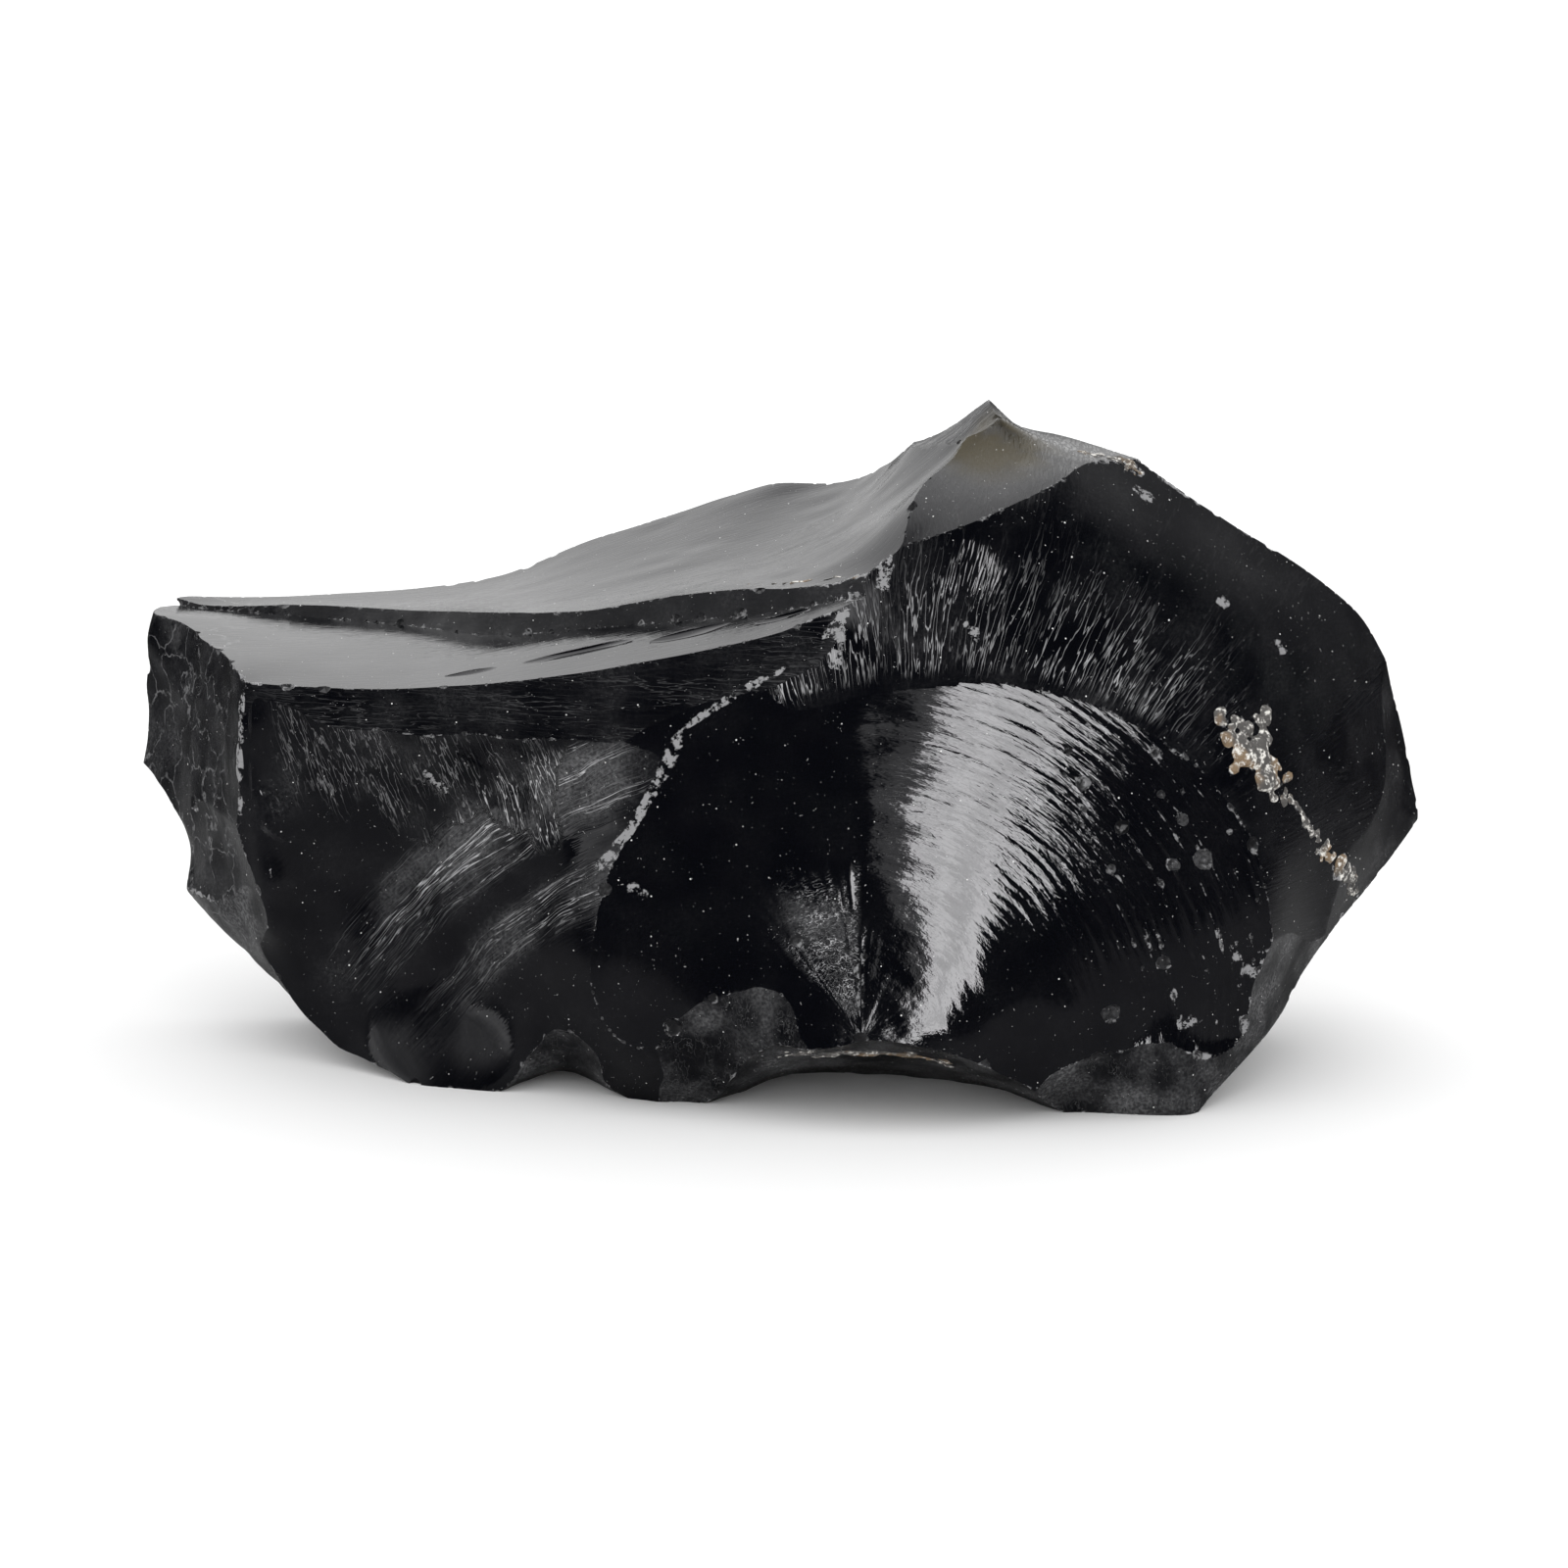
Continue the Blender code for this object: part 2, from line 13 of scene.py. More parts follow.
import bmesh
import bpy
import numpy as np
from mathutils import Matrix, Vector

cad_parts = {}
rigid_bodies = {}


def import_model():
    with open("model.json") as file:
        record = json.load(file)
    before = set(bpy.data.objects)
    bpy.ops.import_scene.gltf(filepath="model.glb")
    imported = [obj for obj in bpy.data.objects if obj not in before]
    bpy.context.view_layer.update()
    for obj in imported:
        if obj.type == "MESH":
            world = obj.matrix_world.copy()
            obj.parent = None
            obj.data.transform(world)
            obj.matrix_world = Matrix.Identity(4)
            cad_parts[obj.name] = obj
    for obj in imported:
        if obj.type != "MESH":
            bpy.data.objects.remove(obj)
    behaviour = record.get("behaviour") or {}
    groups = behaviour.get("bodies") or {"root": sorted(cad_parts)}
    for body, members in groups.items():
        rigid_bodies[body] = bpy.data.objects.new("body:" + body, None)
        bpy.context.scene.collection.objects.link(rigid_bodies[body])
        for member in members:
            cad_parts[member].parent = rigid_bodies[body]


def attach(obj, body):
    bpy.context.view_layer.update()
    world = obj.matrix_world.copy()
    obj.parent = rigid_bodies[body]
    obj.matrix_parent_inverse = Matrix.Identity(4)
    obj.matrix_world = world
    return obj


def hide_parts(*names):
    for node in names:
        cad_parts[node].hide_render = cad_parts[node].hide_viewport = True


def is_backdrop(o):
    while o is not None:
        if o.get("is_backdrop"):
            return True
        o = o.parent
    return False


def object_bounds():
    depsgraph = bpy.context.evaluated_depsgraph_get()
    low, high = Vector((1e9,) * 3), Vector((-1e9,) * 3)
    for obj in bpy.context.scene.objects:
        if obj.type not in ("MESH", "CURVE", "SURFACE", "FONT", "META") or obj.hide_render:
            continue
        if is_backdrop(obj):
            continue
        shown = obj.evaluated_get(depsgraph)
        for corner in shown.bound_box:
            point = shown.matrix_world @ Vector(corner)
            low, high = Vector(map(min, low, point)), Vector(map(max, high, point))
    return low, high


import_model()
solid_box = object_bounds()

# ---- Upper deck, peak and cap ----------------------------------------------------------
# The wide pale deck is the far half of one clean fall, waved towards the right. It ends in
# a hackled facet that climbs to the peak, and the cap leans out in front of the peak.
MM = 0.001
HEART = np.array((1.0, 0.0, 26.0))    # a point deep in the stone
FLAKE_MARGIN = 18.0      # how far a flake goes past its corners
FLAKE_THICKNESS = 26.0
FADE_LIFT = 0.010        # how fast a face bends outwards past its corners
PLATE_SLACK = 0.5        # how loosely a face holds to its corners
LEVEL_LIMIT = 0.5        # below this a face is taken as level
LEAST_DISTANCE = 1e-6
SAME_POINT = 0.002
STREAK_SHIFT = 23.0      # keeps the tears of one face unlike those of the next
corners = {}
flakes = []
makings = bpy.data.collections.new("flakes")
bpy.context.scene.collection.children.link(makings)


def spell(names):
    """The names of some corners, where lip_a-d stands for lip_a, lip_b, lip_c and lip_d."""
    found = []
    for name in names.split():
        row, _, last = name.partition("-")
        letters = range(ord(row[-1]), ord(last or row[-1]) + 1)
        found += [row[:-1] + chr(letter) for letter in letters]
    return found


def mark(names, *places):
    corners.update(zip(spell(names), places))


def plate_bend(distance):
    """How a thin plate bends at this distance from a point that it is held at."""
    return distance**2 * np.log(np.maximum(distance, LEAST_DISTANCE))


class Face:
    """A smooth fracture surface through some corners, as a height over their best plane."""

    def __init__(self, names, slack=PLATE_SLACK):
        points = np.array([corners[name] for name in spell(names)])
        self.centre = points.mean(axis=0)
        normal = np.linalg.svd(points - self.centre)[2][2]
        if normal @ (self.centre - HEART) < 0:
            normal = -normal
        across = np.cross((0.0, 0.0, 1.0), normal)
        if np.linalg.norm(across) < LEVEL_LIMIT:
            across = np.cross(normal, (0.0, 1.0, 0.0))
        across /= np.linalg.norm(across)
        self.axes = np.array([across, np.cross(normal, across), normal])
        local = (points - self.centre) @ self.axes.T
        self.held = local[:, :2]
        self.low = self.held.min(axis=0)
        self.high = self.held.max(axis=0)
        count = len(points)
        gaps = np.linalg.norm(self.held[:, None] - self.held[None], axis=2)
        flat = np.column_stack([np.ones(count), self.held])
        system = np.zeros((count + 3, count + 3))
        system[:count, :count] = plate_bend(gaps) + slack * np.eye(count)
        system[:count, count:] = flat
        system[count:, :count] = flat.T
        self.weights = np.linalg.solve(system, np.append(local[:, 2], np.zeros(3)))

    def height(self, across):
        gaps = np.linalg.norm(across[:, None] - self.held[None], axis=2)
        count = len(self.held)
        smooth = plate_bend(gaps) @ self.weights[:count]
        smooth += self.weights[count] + across @ self.weights[count + 1 :]
        past = np.maximum(0, np.maximum(self.low - across, across - self.high))
        return smooth + FADE_LIFT * (past**2).sum(axis=1)

    def place(self, across, height):
        return self.centre + np.column_stack([across, height]) @ self.axes

    def across(self, corner):
        """Where a corner, or any point in millimetres, lies on the face's plane."""
        point = corners[corner] if isinstance(corner, str) else corner
        return ((np.array(point) - self.centre) @ self.axes.T)[:2]

    def even(self, spacing):
        """A square grid over the face and its margin: its step counts and its points' places."""
        low = self.low - FLAKE_MARGIN
        size = self.high + FLAKE_MARGIN - low
        return np.round(size / spacing).astype(int), lambda unit: low + unit * size

    def rings(self, centre, reach, apart, turn, step):
        """Rings round a centre, apart by a distance, with points a step of the turn apart."""
        near, far = reach
        first, last = np.radians(turn)
        counts = np.array([(last - first) / np.radians(step), (far - near) / apart])

        def spread(unit):
            angle = first + unit[:, 0] * (last - first)
            out = near + unit[:, 1] * (far - near)
            return centre + out[:, None] * np.column_stack([np.sin(angle), np.cos(angle)])

        return np.round(counts).astype(int), spread


class Skin(NamedTuple):
    """What the break left on a face, and the light painted on it, point by point or all over."""

    height: np.ndarray        # relief over the smooth face, in millimetres
    streaks: np.ndarray       # the point's place in millimetres, drawn out along the fine tears
    tear: float | np.ndarray  # how torn the glass is, from 0 to 1; its pale strands are painted highlights
    haze_and_sheen: float | np.ndarray  # how much pale powder and painted sheen lie on it, from 0 to 1
    dull: float | np.ndarray  # how far the polish is gone, from 0 to 1


def shape_flake(name, face, layout, skin_of):
    """Makes the closed flake that stands on a face and its relief."""
    steps, spread = layout
    mesh = bmesh.new()
    bmesh.ops.create_grid(mesh, x_segments=int(steps[0]), y_segments=int(steps[1]), size=0.5)
    unit = np.array([vertex.co[:2] for vertex in mesh.verts]) + 0.5
    for vertex, place in zip(mesh.verts, spread(unit)):
        vertex.co = (*place, 0)
    bmesh.ops.remove_doubles(mesh, verts=mesh.verts, dist=SAME_POINT)
    rim = [edge for edge in mesh.edges if edge.is_boundary]
    walls = bmesh.ops.extrude_edge_only(mesh, edges=rim)["geom"]
    lid = {item for item in walls if isinstance(item, bmesh.types.BMVert)}
    across = np.array([vertex.co[:2] for vertex in mesh.verts])
    height = face.height(across)
    skin = skin_of(across, face.place(across, height))
    height = height + skin.height
    height[[vertex in lid for vertex in mesh.verts]] = height.max() + FLAKE_THICKNESS
    for vertex, place in zip(mesh.verts, face.place(across, height)):
        vertex.co = place * MM
    bmesh.ops.holes_fill(mesh, edges=[edge for edge in mesh.edges if edge.is_boundary], sides=0)
    bmesh.ops.recalc_face_normals(mesh, faces=mesh.faces)
    data = bpy.data.meshes.new(name)
    mesh.to_mesh(data)
    mesh.free()
    shift = np.full(len(across), STREAK_SHIFT * len(makings.objects))
    streaks = np.column_stack([skin.streaks, shift])
    wear_and_sheen = np.column_stack([np.broadcast_to(part, len(across)) for part in skin[2:]])
    corner_of = np.empty(len(data.loops), int)
    data.loops.foreach_get("vertex_index", corner_of)
    for label, values in (("streaks", streaks), ("wear_and_sheen", wear_and_sheen)):
        layer = data.attributes.new(label, "FLOAT_VECTOR", "CORNER")
        layer.data.foreach_set("vector", values[corner_of].ravel())
    flake = bpy.data.objects.new(name, data)
    makings.objects.link(flake)
    return flake


def take_off(name, face, layout, skin_of):
    """Keeps a face's flake for the breaking of the block."""
    flakes.append(shape_flake(name, face, layout, skin_of))


def cut(target, cutter, operation):
    modifier = target.modifiers.new(cutter.name, "BOOLEAN")
    modifier.object = cutter
    modifier.operation = operation
    modifier.solver = "MANIFOLD"
    modifier.material_mode = "TRANSFER"


def grain(points, size, seed=0):
    """Smooth noise from -1 to 1 over 2D or 3D points, with lumps about this size across."""
    spot = points / size + 31.7 * seed
    cell = np.floor(spot).astype(np.int64)
    part = spot - cell
    part = part * part * (3 - 2 * part)
    strides = np.array((73856093, 19349663, 83492791))[: points.shape[1]]
    total = np.zeros(len(points))
    for corner in itertools.product((0, 1), repeat=points.shape[1]):
        mixed = ((cell + corner) * strides).sum(axis=1)
        mixed = (mixed ^ (mixed >> 13)) * 1274126177
        value = ((mixed ^ (mixed >> 16)) & 0xFFFF) / 32767.5 - 1
        total += value * np.prod(np.where(corner, part, 1 - part), axis=1)
    return total


def swell(places, height, size=9.0, seed=0):
    """The faint unevenness of any broken glass, in two sizes."""
    return height * (grain(places, size, seed) + 0.3 * grain(places, size / 3, seed + 1))


def smooth_step(value, low, high):
    part = np.clip((value - low) / (high - low), 0, 1)
    return part * part * (3 - 2 * part)


# points in the air, which keep a face clear of the stone past its own ridge
mark(
    "clear_a-p",
    (12.8, -27.4, 44.0), (2.8, -28.4, 37.0), (17.8, -23.4, 51.0), (-58.2, 1.6, 46.0),
    (-34.2, -11.4, 47.5), (-7.2, -17.4, 52.0), (21.8, 4.6, 70.0), (2.8, 8.6, 61.0),
    (36.8, -26.4, 2.0), (46.8, -23.4, 2.0), (-67.9, 18.6, 42.0), (-62.2, 5.6, 26.0),
    (9.8, -31.4, 9.0), (20.8, -29.4, 2.0), (-70.2, 20.6, 29.0), (-68.7, 15.6, 29.0),
)
mark("far_left", (-63.0, 25.6, 42.7))
mark(
    "far_a-i",
    (-51.1, 26.1, 42.7), (-37.7, 26.6, 43.4), (-28.3, 26.6, 45.0), (-19.9, 26.6, 48.5),
    (-10.6, 25.6, 51.6), (-0.2, 23.6, 55.1), (6.9, 20.6, 56.0), (11.5, 16.6, 58.6),
    (14.4, 12.1, 62.0),
)
mark("peak", (21.7, 5.6, 67.5))
mark("peak_a-b", (15.8, 6.6, 62.3), (18.5, 2.1, 63.4))
mark(
    "lip_a-j",
    (-61.4, 24.1, 42.3), (-46.5, 19.6, 43.1), (-37.9, 13.1, 44.0), (-29.3, 5.1, 45.5),
    (-19.0, -2.4, 47.3), (-11.0, -5.4, 49.4), (-5.1, -7.9, 50.5), (0.8, -10.4, 51.4),
    (6.6, -11.9, 52.7), (9.5, -12.4, 54.0),
)
mark(
    "cap_a-g",
    (22.4, 1.1, 66.5), (19.0, -1.4, 64.8), (17.3, -3.9, 63.0), (15.0, -6.9, 61.6),
    (13.5, -9.9, 59.7), (12.6, -12.4, 57.3), (12.3, -12.9, 56.3),
)
mark(
    "top_a-e",
    (15.3, -13.9, 57.3), (20.2, -13.9, 59.2), (26.0, -11.4, 61.3), (29.1, -8.4, 62.4),
    (31.2, -4.4, 62.8),
)
mark("cap_back_a-c", (24.2, 5.6, 65.1), (28.3, 7.1, 63.7), (33.2, 5.6, 62.6))
mark(
    "crest_a-j",
    (36.5, 1.6, 62.3), (41.6, 0.6, 58.6), (46.5, 1.6, 55.2), (53.8, 3.6, 50.4),
    (59.6, 6.1, 45.3), (63.6, 8.6, 36.9), (66.0, 9.6, 27.3), (66.7, 8.6, 22.8),
    (61.1, 3.6, 16.8), (55.7, -1.4, 12.4),
)
upper_deck = Face("far_left far_a-i peak_a peak_b lip_a-j cap_b-g clear_d-g")
peak_facet = Face("far_i peak peak_a peak_b cap_a cap_b clear_h")
cap = Face("cap_a-g top_a-e cap_back_a-c crest_a peak")


def deck_waves(across, places):
    """Long soft waves that strengthen towards the peak, with a faint flow grain."""
    rise = smooth_step(places[:, 0], -35, 12)
    wave = grain(places * (1, 1.7, 1), 11, 3) + 0.4 * grain(places * (1, 2.2, 1), 4.5, 4)
    flow = grain(places * (0.25, 1, 1), 0.8, 5)
    relief = (0.07 + 0.24 * rise) * wave + 0.006 * flow
    return Skin(relief, places[:, :2] * (0.15, 1), tear=0.10, haze_and_sheen=0.04, dull=0.25)


def peak_hackles(across, places):
    """Coarse steps that climb the facet under the peak."""
    run = np.column_stack([places[:, 0] * 0.5 + places[:, 2] * 0.5, places[:, 1]])
    relief = 0.16 * grain(run, 2.0, 6) + 0.05 * grain(run * (0.5, 1), 0.8, 7)
    return Skin(relief, run * (0.2, 1), tear=0.25, haze_and_sheen=0.03, dull=0.75)


def cap_flow(across, places):
    """A calm face with shallow dents and thin flow lines that run down to the left."""
    relief = swell(places, 0.14, 7, 8) + 0.008 * grain(across * (1, 0.3), 0.7, 9)
    return Skin(relief, across * (1, 0.2), tear=0.12, haze_and_sheen=0.03, dull=0.5)


take_off("upper_deck", upper_deck, upper_deck.even(0.6), deck_waves)
take_off("peak_facet", peak_facet, peak_facet.even(0.5), peak_hackles)
take_off("cap", cap, cap.even(0.45), cap_flow)

# ---- Lower deck and riser --------------------------------------------------------------
# The near half of the fall lies a millimetre or two lower. A thin dark riser joins the two
# decks, and long lens-shaped splinters have lifted off the lower deck along its foot.
mark(
    "foot_a-h",
    (-60.8, 23.6, 41.9), (-46.5, 18.6, 41.8), (-35.7, 10.1, 42.7), (-29.3, 4.1, 43.3),
    (-19.0, -2.9, 45.6), (-9.0, -7.4, 47.4), (0.8, -11.4, 49.3), (6.1, -13.4, 50.7),
)
mark(
    "left_a-d",
    (-64.7, 16.6, 42.7), (-61.9, 14.1, 42.5), (-58.1, 6.6, 42.1), (-54.6, -4.4, 41.5),
)
mark("near_left", (-53.4, -7.4, 41.0))
mark(
    "brow_a-g",
    (-48.3, -9.4, 41.1), (-38.3, -11.9, 41.4), (-28.4, -14.2, 42.5), (-18.6, -15.6, 44.0),
    (-8.9, -16.2, 45.9), (0.8, -16.2, 48.2), (6.4, -15.6, 50.3),
)
lower_deck = Face("foot_a-h left_a-d near_left brow_a-g")
riser = Face("lip_a-i foot_a-h")


def riser_steps(across, places):
    """Small ragged steps along the riser."""
    relief = 0.15 * grain(places * (0.5, 0.5, 1.5), 1.6, 10) + 0.06 * grain(places, 0.6, 11)
    return Skin(relief, places[:, ::2] * (0.25, 1), tear=0.08, haze_and_sheen=0.06, dull=0.3)


def lower_waves(across, places):
    """A calm face with a very faint flow grain along its length."""
    relief = swell(places, 0.045, 10, 12) + 0.003 * grain(places * (0.2, 1, 1), 0.7, 13)
    return Skin(relief, places[:, :2] * (0.15, 1), tear=0.06, haze_and_sheen=0.06, dull=0.25)


backing = shape_flake("riser", riser, riser.even(0.5), riser_steps)
take_off("lower_deck", lower_deck, lower_deck.even(0.5), lower_waves)
cut(flakes[-1], backing, "INTERSECT")

# ---- Brow ------------------------------------------------------------------------------
# A dark band of glass under the lower deck's front edge. The fall that opened the deck
# streaked it lengthwise.
mark(
    "under_a-f",
    (-52.9, -7.6, 40.1), (-43.4, -10.9, 36.9), (-34.4, -12.9, 36.7), (-26.5, -15.4, 36.8),
    (-18.6, -17.0, 36.6), (-13.8, -17.8, 37.4),
)
mark("junction", (-9.2, -18.6, 38.5))
mark("rise_a-c", (-3.1, -18.7, 41.8), (3.7, -17.9, 45.1), (6.4, -17.1, 48.4))
brow = Face("near_left brow_a-g under_a-f junction rise_a-c clear_a-c")


def brow_streaks(across, places):
    """Streaks along the band, and a finer tear near the deck's edge."""
    along = places * (0.22, 0.22, 1.0)
    relief = 0.03 * grain(along, 0.9, 14) + 0.01 * grain(along, 0.45, 15)
    relief += swell(places, 0.07, 8, 16)
    return Skin(relief, places[:, ::2] * (0.12, 1), tear=0.14, haze_and_sheen=0.05, dull=0.3)


take_off("brow", brow, brow.even(0.42), brow_streaks)

# ---- Tall wall -------------------------------------------------------------------------
# The wall stands over the dome. The blow that opened the dome also tore hackles in it,
# which run out from the point of the blow like the ribs of a fan, and fade to the right.
mark(
    "edge_a-e",
    (62.6, 6.6, 38.4), (62.8, 4.6, 31.7), (62.0, 1.6, 26.7), (60.4, -1.4, 23.8),
    (58.5, -4.4, 23.0),
)
mark(
    "wall_a-h",
    (20.1, -16.0, 51.6), (31.8, -14.9, 52.3), (42.7, -11.4, 49.6), (53.1, -5.9, 42.3),
    (53.5, -10.4, 31.2), (53.6, -10.9, 21.2), (34.7, -16.8, 43.8), (13.4, -16.2, 48.7),
)
mark(
    "rim_a-j",
    (-3.1, -19.1, 38.9), (3.7, -19.5, 41.3), (10.9, -19.7, 43.0), (18.2, -19.9, 43.8),
    (25.9, -20.1, 43.1), (32.6, -20.2, 41.2), (39.0, -20.4, 37.5), (44.4, -20.4, 32.2),
    (47.9, -20.6, 25.8), (49.5, -20.0, 17.6),
)
mark("blow", (8.5, -27.2, 9.5))
mark(
    "side_a-e",
    (49.6, -19.6, 17.3), (53.1, -8.9, 10.4), (51.5, -10.4, 7.7), (48.1, -18.4, 12.6),
    (55.7, -6.4, 14.3),
)
wall = Face(
    "cap_g top_a-e crest_a-e edge_a-e wall_a-h rise_a-c junction rim_a-j side_a side_e"
    " lip_j"
)


def polar(across, centre):
    """Distance from a centre, and the angle from straight up, clockwise, in radians."""
    away = across - centre
    return np.linalg.norm(away, axis=1), np.arctan2(away[:, 0], away[:, 1])


wall_blow = wall.across("blow")
RIM_REACH, RIM_TURN = polar(
    np.array([wall.across(name) for name in corners if name.startswith("rim")]), wall_blow
)


def wall_hackles(across, places):
    """Narrow ribs along the fan, broken in length, strongest over the top of the dome."""
    reach, angle = polar(across, wall_blow)
    over = reach - np.interp(angle, RIM_TURN, RIM_REACH)
    fan = np.column_stack([angle * 45.0, reach * 0.10])
    rib = grain(fan, 0.8, 17)
    fine = grain(fan * (1, 1.5), 0.42, 18)
    band = smooth_step(over, 0.8, 2.2) * (1 - smooth_step(over, 7, 17))
    turned = np.degrees(angle)
    fan_part = smooth_step(turned, -48, -22) * (1 - 0.55 * smooth_step(turned, 10, 30))
    fan_part *= 1 - smooth_step(turned, 40, 62)
    patch = 0.35 + 0.65 * smooth_step(grain(fan * (0.25, 1), 2.2, 39), -0.5, 0.5)
    torn = band * fan_part * patch
    crest = np.clip(1 - 2.2 * np.abs(rib), 0, 1)
    relief = (0.03 + 0.97 * torn) * (0.11 * crest + 0.025 * fine) + swell(places, 0.06, 9, 19)
    # The pale strands of the torn band, through its tear, are painted highlights.
    return Skin(relief, fan, tear=0.09 + 0.81 * torn, haze_and_sheen=0.03, dull=0.10 + 0.25 * torn)


wall_rings = wall.rings(wall_blow, reach=(17.0, 88.0), apart=0.9, turn=(-160, 160), step=0.42)
take_off("wall", wall, wall_rings, wall_hackles)

# ---- Dome ------------------------------------------------------------------------------
# The big shell-shaped break on the front. It opens upwards like a fan from the point of
# the blow, low in its middle, with ripples round that point up to the rim and a small
# torn fan on its left.
RIPPLE_APART = 0.92    # millimetres
mark(
    "dome_a-v",
    (-5.0, -21.9, 24.1), (-5.0, -23.4, 16.0), (-3.1, -20.4, 32.7), (4.2, -20.0, 39.6),
    (10.7, -20.1, 41.1), (17.7, -20.4, 41.5), (24.4, -20.8, 40.1), (30.7, -21.0, 38.2),
    (36.3, -21.1, 34.4), (41.1, -21.2, 29.7), (44.2, -21.4, 24.2), (45.9, -21.4, 17.5),
    (6.1, -23.4, 25.5), (13.3, -23.6, 26.6), (20.6, -23.9, 25.5), (26.4, -24.4, 20.8),
    (28.9, -24.9, 13.9), (10.5, -25.8, 16.2), (28.9, -25.2, 9.5), (36.7, -23.6, 10.7),
    (39.7, -23.0, 9.5), (43.8, -20.4, 9.6),
)
mark(
    "spine_a-g",
    (-10.8, -18.6, 35.3), (-13.3, -19.3, 29.5), (-16.2, -19.6, 25.5), (-17.7, -20.1, 20.6),
    (-18.5, -20.7, 13.7), (-15.3, -21.2, 6.8), (-13.5, -17.3, 0.2),
)
mark(
    "heel_a-i",
    (-14.2, -16.8, 0.1), (-12.9, -22.0, 6.0), (-9.9, -22.9, 9.8), (-5.0, -23.9, 13.1),
    (-1.1, -24.5, 14.3), (1.0, -25.4, 11.5), (0.5, -25.7, 8.5), (-4.1, -21.0, 4.0),
    (-6.6, -18.2, 0.5),
)
mark(
    "arch_a-h",
    (2.5, -26.8, 8.2), (10.5, -27.4, 9.4), (20.1, -27.1, 6.8), (25.1, -24.6, 3.7),
    (0.8, -7.9, 0.0), (8.8, -7.9, 0.1), (16.8, -9.9, 0.1), (23.6, -13.9, 0.1),
)
mark(
    "toe_a-g",
    (27.7, -21.2, 0.6), (32.9, -23.8, 6.9), (39.7, -23.4, 7.7), (46.1, -18.9, 6.4),
    (49.2, -14.4, 5.8), (41.4, -21.4, 0.0), (43.5, -19.4, 1.1),
)
dome = Face("blow rim_a-j dome_a-v spine_a-e heel_b-e arch_a-d toe_b-d clear_i clear_j")
dome_blow = dome.across("blow")


def dome_ripples(across, places):
    """Ripples round the blow, strongest under the rim on the right, over faint radial tears."""
    reach, angle = polar(across, dome_blow)
    turned = np.degrees(angle)
    fan = np.column_stack([angle * 12.0, reach * 0.35])
    phase = (reach + 0.45 * grain(fan, 1.6, 20) + 0.2 * grain(fan, 0.6, 21)) / RIPPLE_APART
    wave = 0.55 * np.sin(2 * np.pi * phase) + 0.4 * np.sin(3.1 * np.pi * phase + 1.0)
    wave += 0.9 * grain(np.column_stack([reach, angle * 5.0]), 0.55, 41)
    outer = smooth_step(reach, 12, 36)
    right = smooth_step(turned, -5, 45)
    strength = 0.34 + 0.66 * outer * (0.25 + 1.35 * right)
    strength += 1.9 * smooth_step(reach, 17, 29) * smooth_step(turned, 18, 38)
    flaked = grain(np.column_stack([reach, angle * 6.0]), 1.7, 43)
    tears = grain(np.column_stack([angle * 60.0, reach * 0.18]), 1.1, 22)
    ragged = turned + 9 * tears
    leaf = smooth_step(ragged, -42, -26) * (1 - smooth_step(ragged, -12, 0))
    leaf *= smooth_step(reach, 2, 6) * (1 - smooth_step(reach + 3 * tears, 11, 18))
    tilt = 0.06 * (dome_blow[0] - 3.5 - across[:, 0]) * leaf
    relief = 0.013 * strength * wave + (0.004 + 0.02 * leaf) * tears + tilt + 0.022 * flaked
    relief += swell(places, 0.03, 8, 23)
    round_blow = np.column_stack([reach * 1.3, angle * 7.0])
    # The small fan's pale tears and haze are a painted reflection; its tilt is real relief.
    tear = 0.01 + 0.02 * strength + 0.60 * leaf
    return Skin(relief, round_blow, tear=tear, haze_and_sheen=0.01 + 0.25 * leaf, dull=0.04)


dome_rings = dome.rings(dome_blow, reach=(0.0, 66.0), apart=0.22, turn=(-180, 180), step=1.7)
take_off("dome", dome, dome_rings, dome_ripples)

# ---- Left hollow -----------------------------------------------------------------------
# A scooped break beside the dome. Ribs sweep round its right flank, a tangle of hackles
# hangs from the brow, a rounded nose stands at its left edge, and its foot curls under.
NOSE_AT, NOSE_WIDTH = 51.6, 1.7    # millimetres left of the middle
mark(
    "edge_l_a-d",
    (-53.5, -7.9, 35.7), (-54.2, -6.6, 30.3), (-54.2, -5.6, 23.9), (-53.3, -1.9, 12.3),
)
mark(
    "low_a-g",
    (-50.5, -2.9, 8.1), (-47.4, -4.4, 4.4), (-44.3, -6.4, 2.3), (-38.0, -11.4, 0.1),
    (-35.0, -12.7, 0.1), (-28.9, -14.4, 0.1), (-16.8, -16.6, 1.1),
)
mark(
    "hollow_a-r",
    (-51.7, -6.4, 30.2), (-49.5, -7.4, 26.9), (-50.7, -7.3, 20.2), (-51.6, -6.0, 14.7),
    (-45.5, -5.8, 20.9), (-42.2, -6.3, 9.6), (-33.9, -9.1, 20.7), (-24.7, -13.3, 26.9),
    (-38.8, -7.8, 29.6), (-24.8, -14.2, 11.9), (-18.7, -16.0, 29.6), (-32.0, -9.9, 6.5),
    (-30.9, -8.7, 26.7), (-25.8, -10.6, 31.0), (-19.7, -15.4, 30.2), (-37.3, -7.0, 19.1),
    (-38.9, -6.8, 25.2), (-22.8, -14.6, 22.2),
)
mark(
    "nick_a-g",
    (-27.4, -14.2, 0.5), (-24.9, -14.3, 3.7), (-21.4, -15.7, 6.7), (-18.3, -18.0, 5.3),
    (-16.8, -16.6, 1.5), (-21.8, -6.5, 0.0), (-24.7, -7.9, 0.0),
)
hollow = Face("under_a-f junction spine_a-g edge_l_a-d low_a-g hollow_a-r", slack=4.0)
RIB_CENTRE = hollow.across((15.8, -17.0, -30.7))


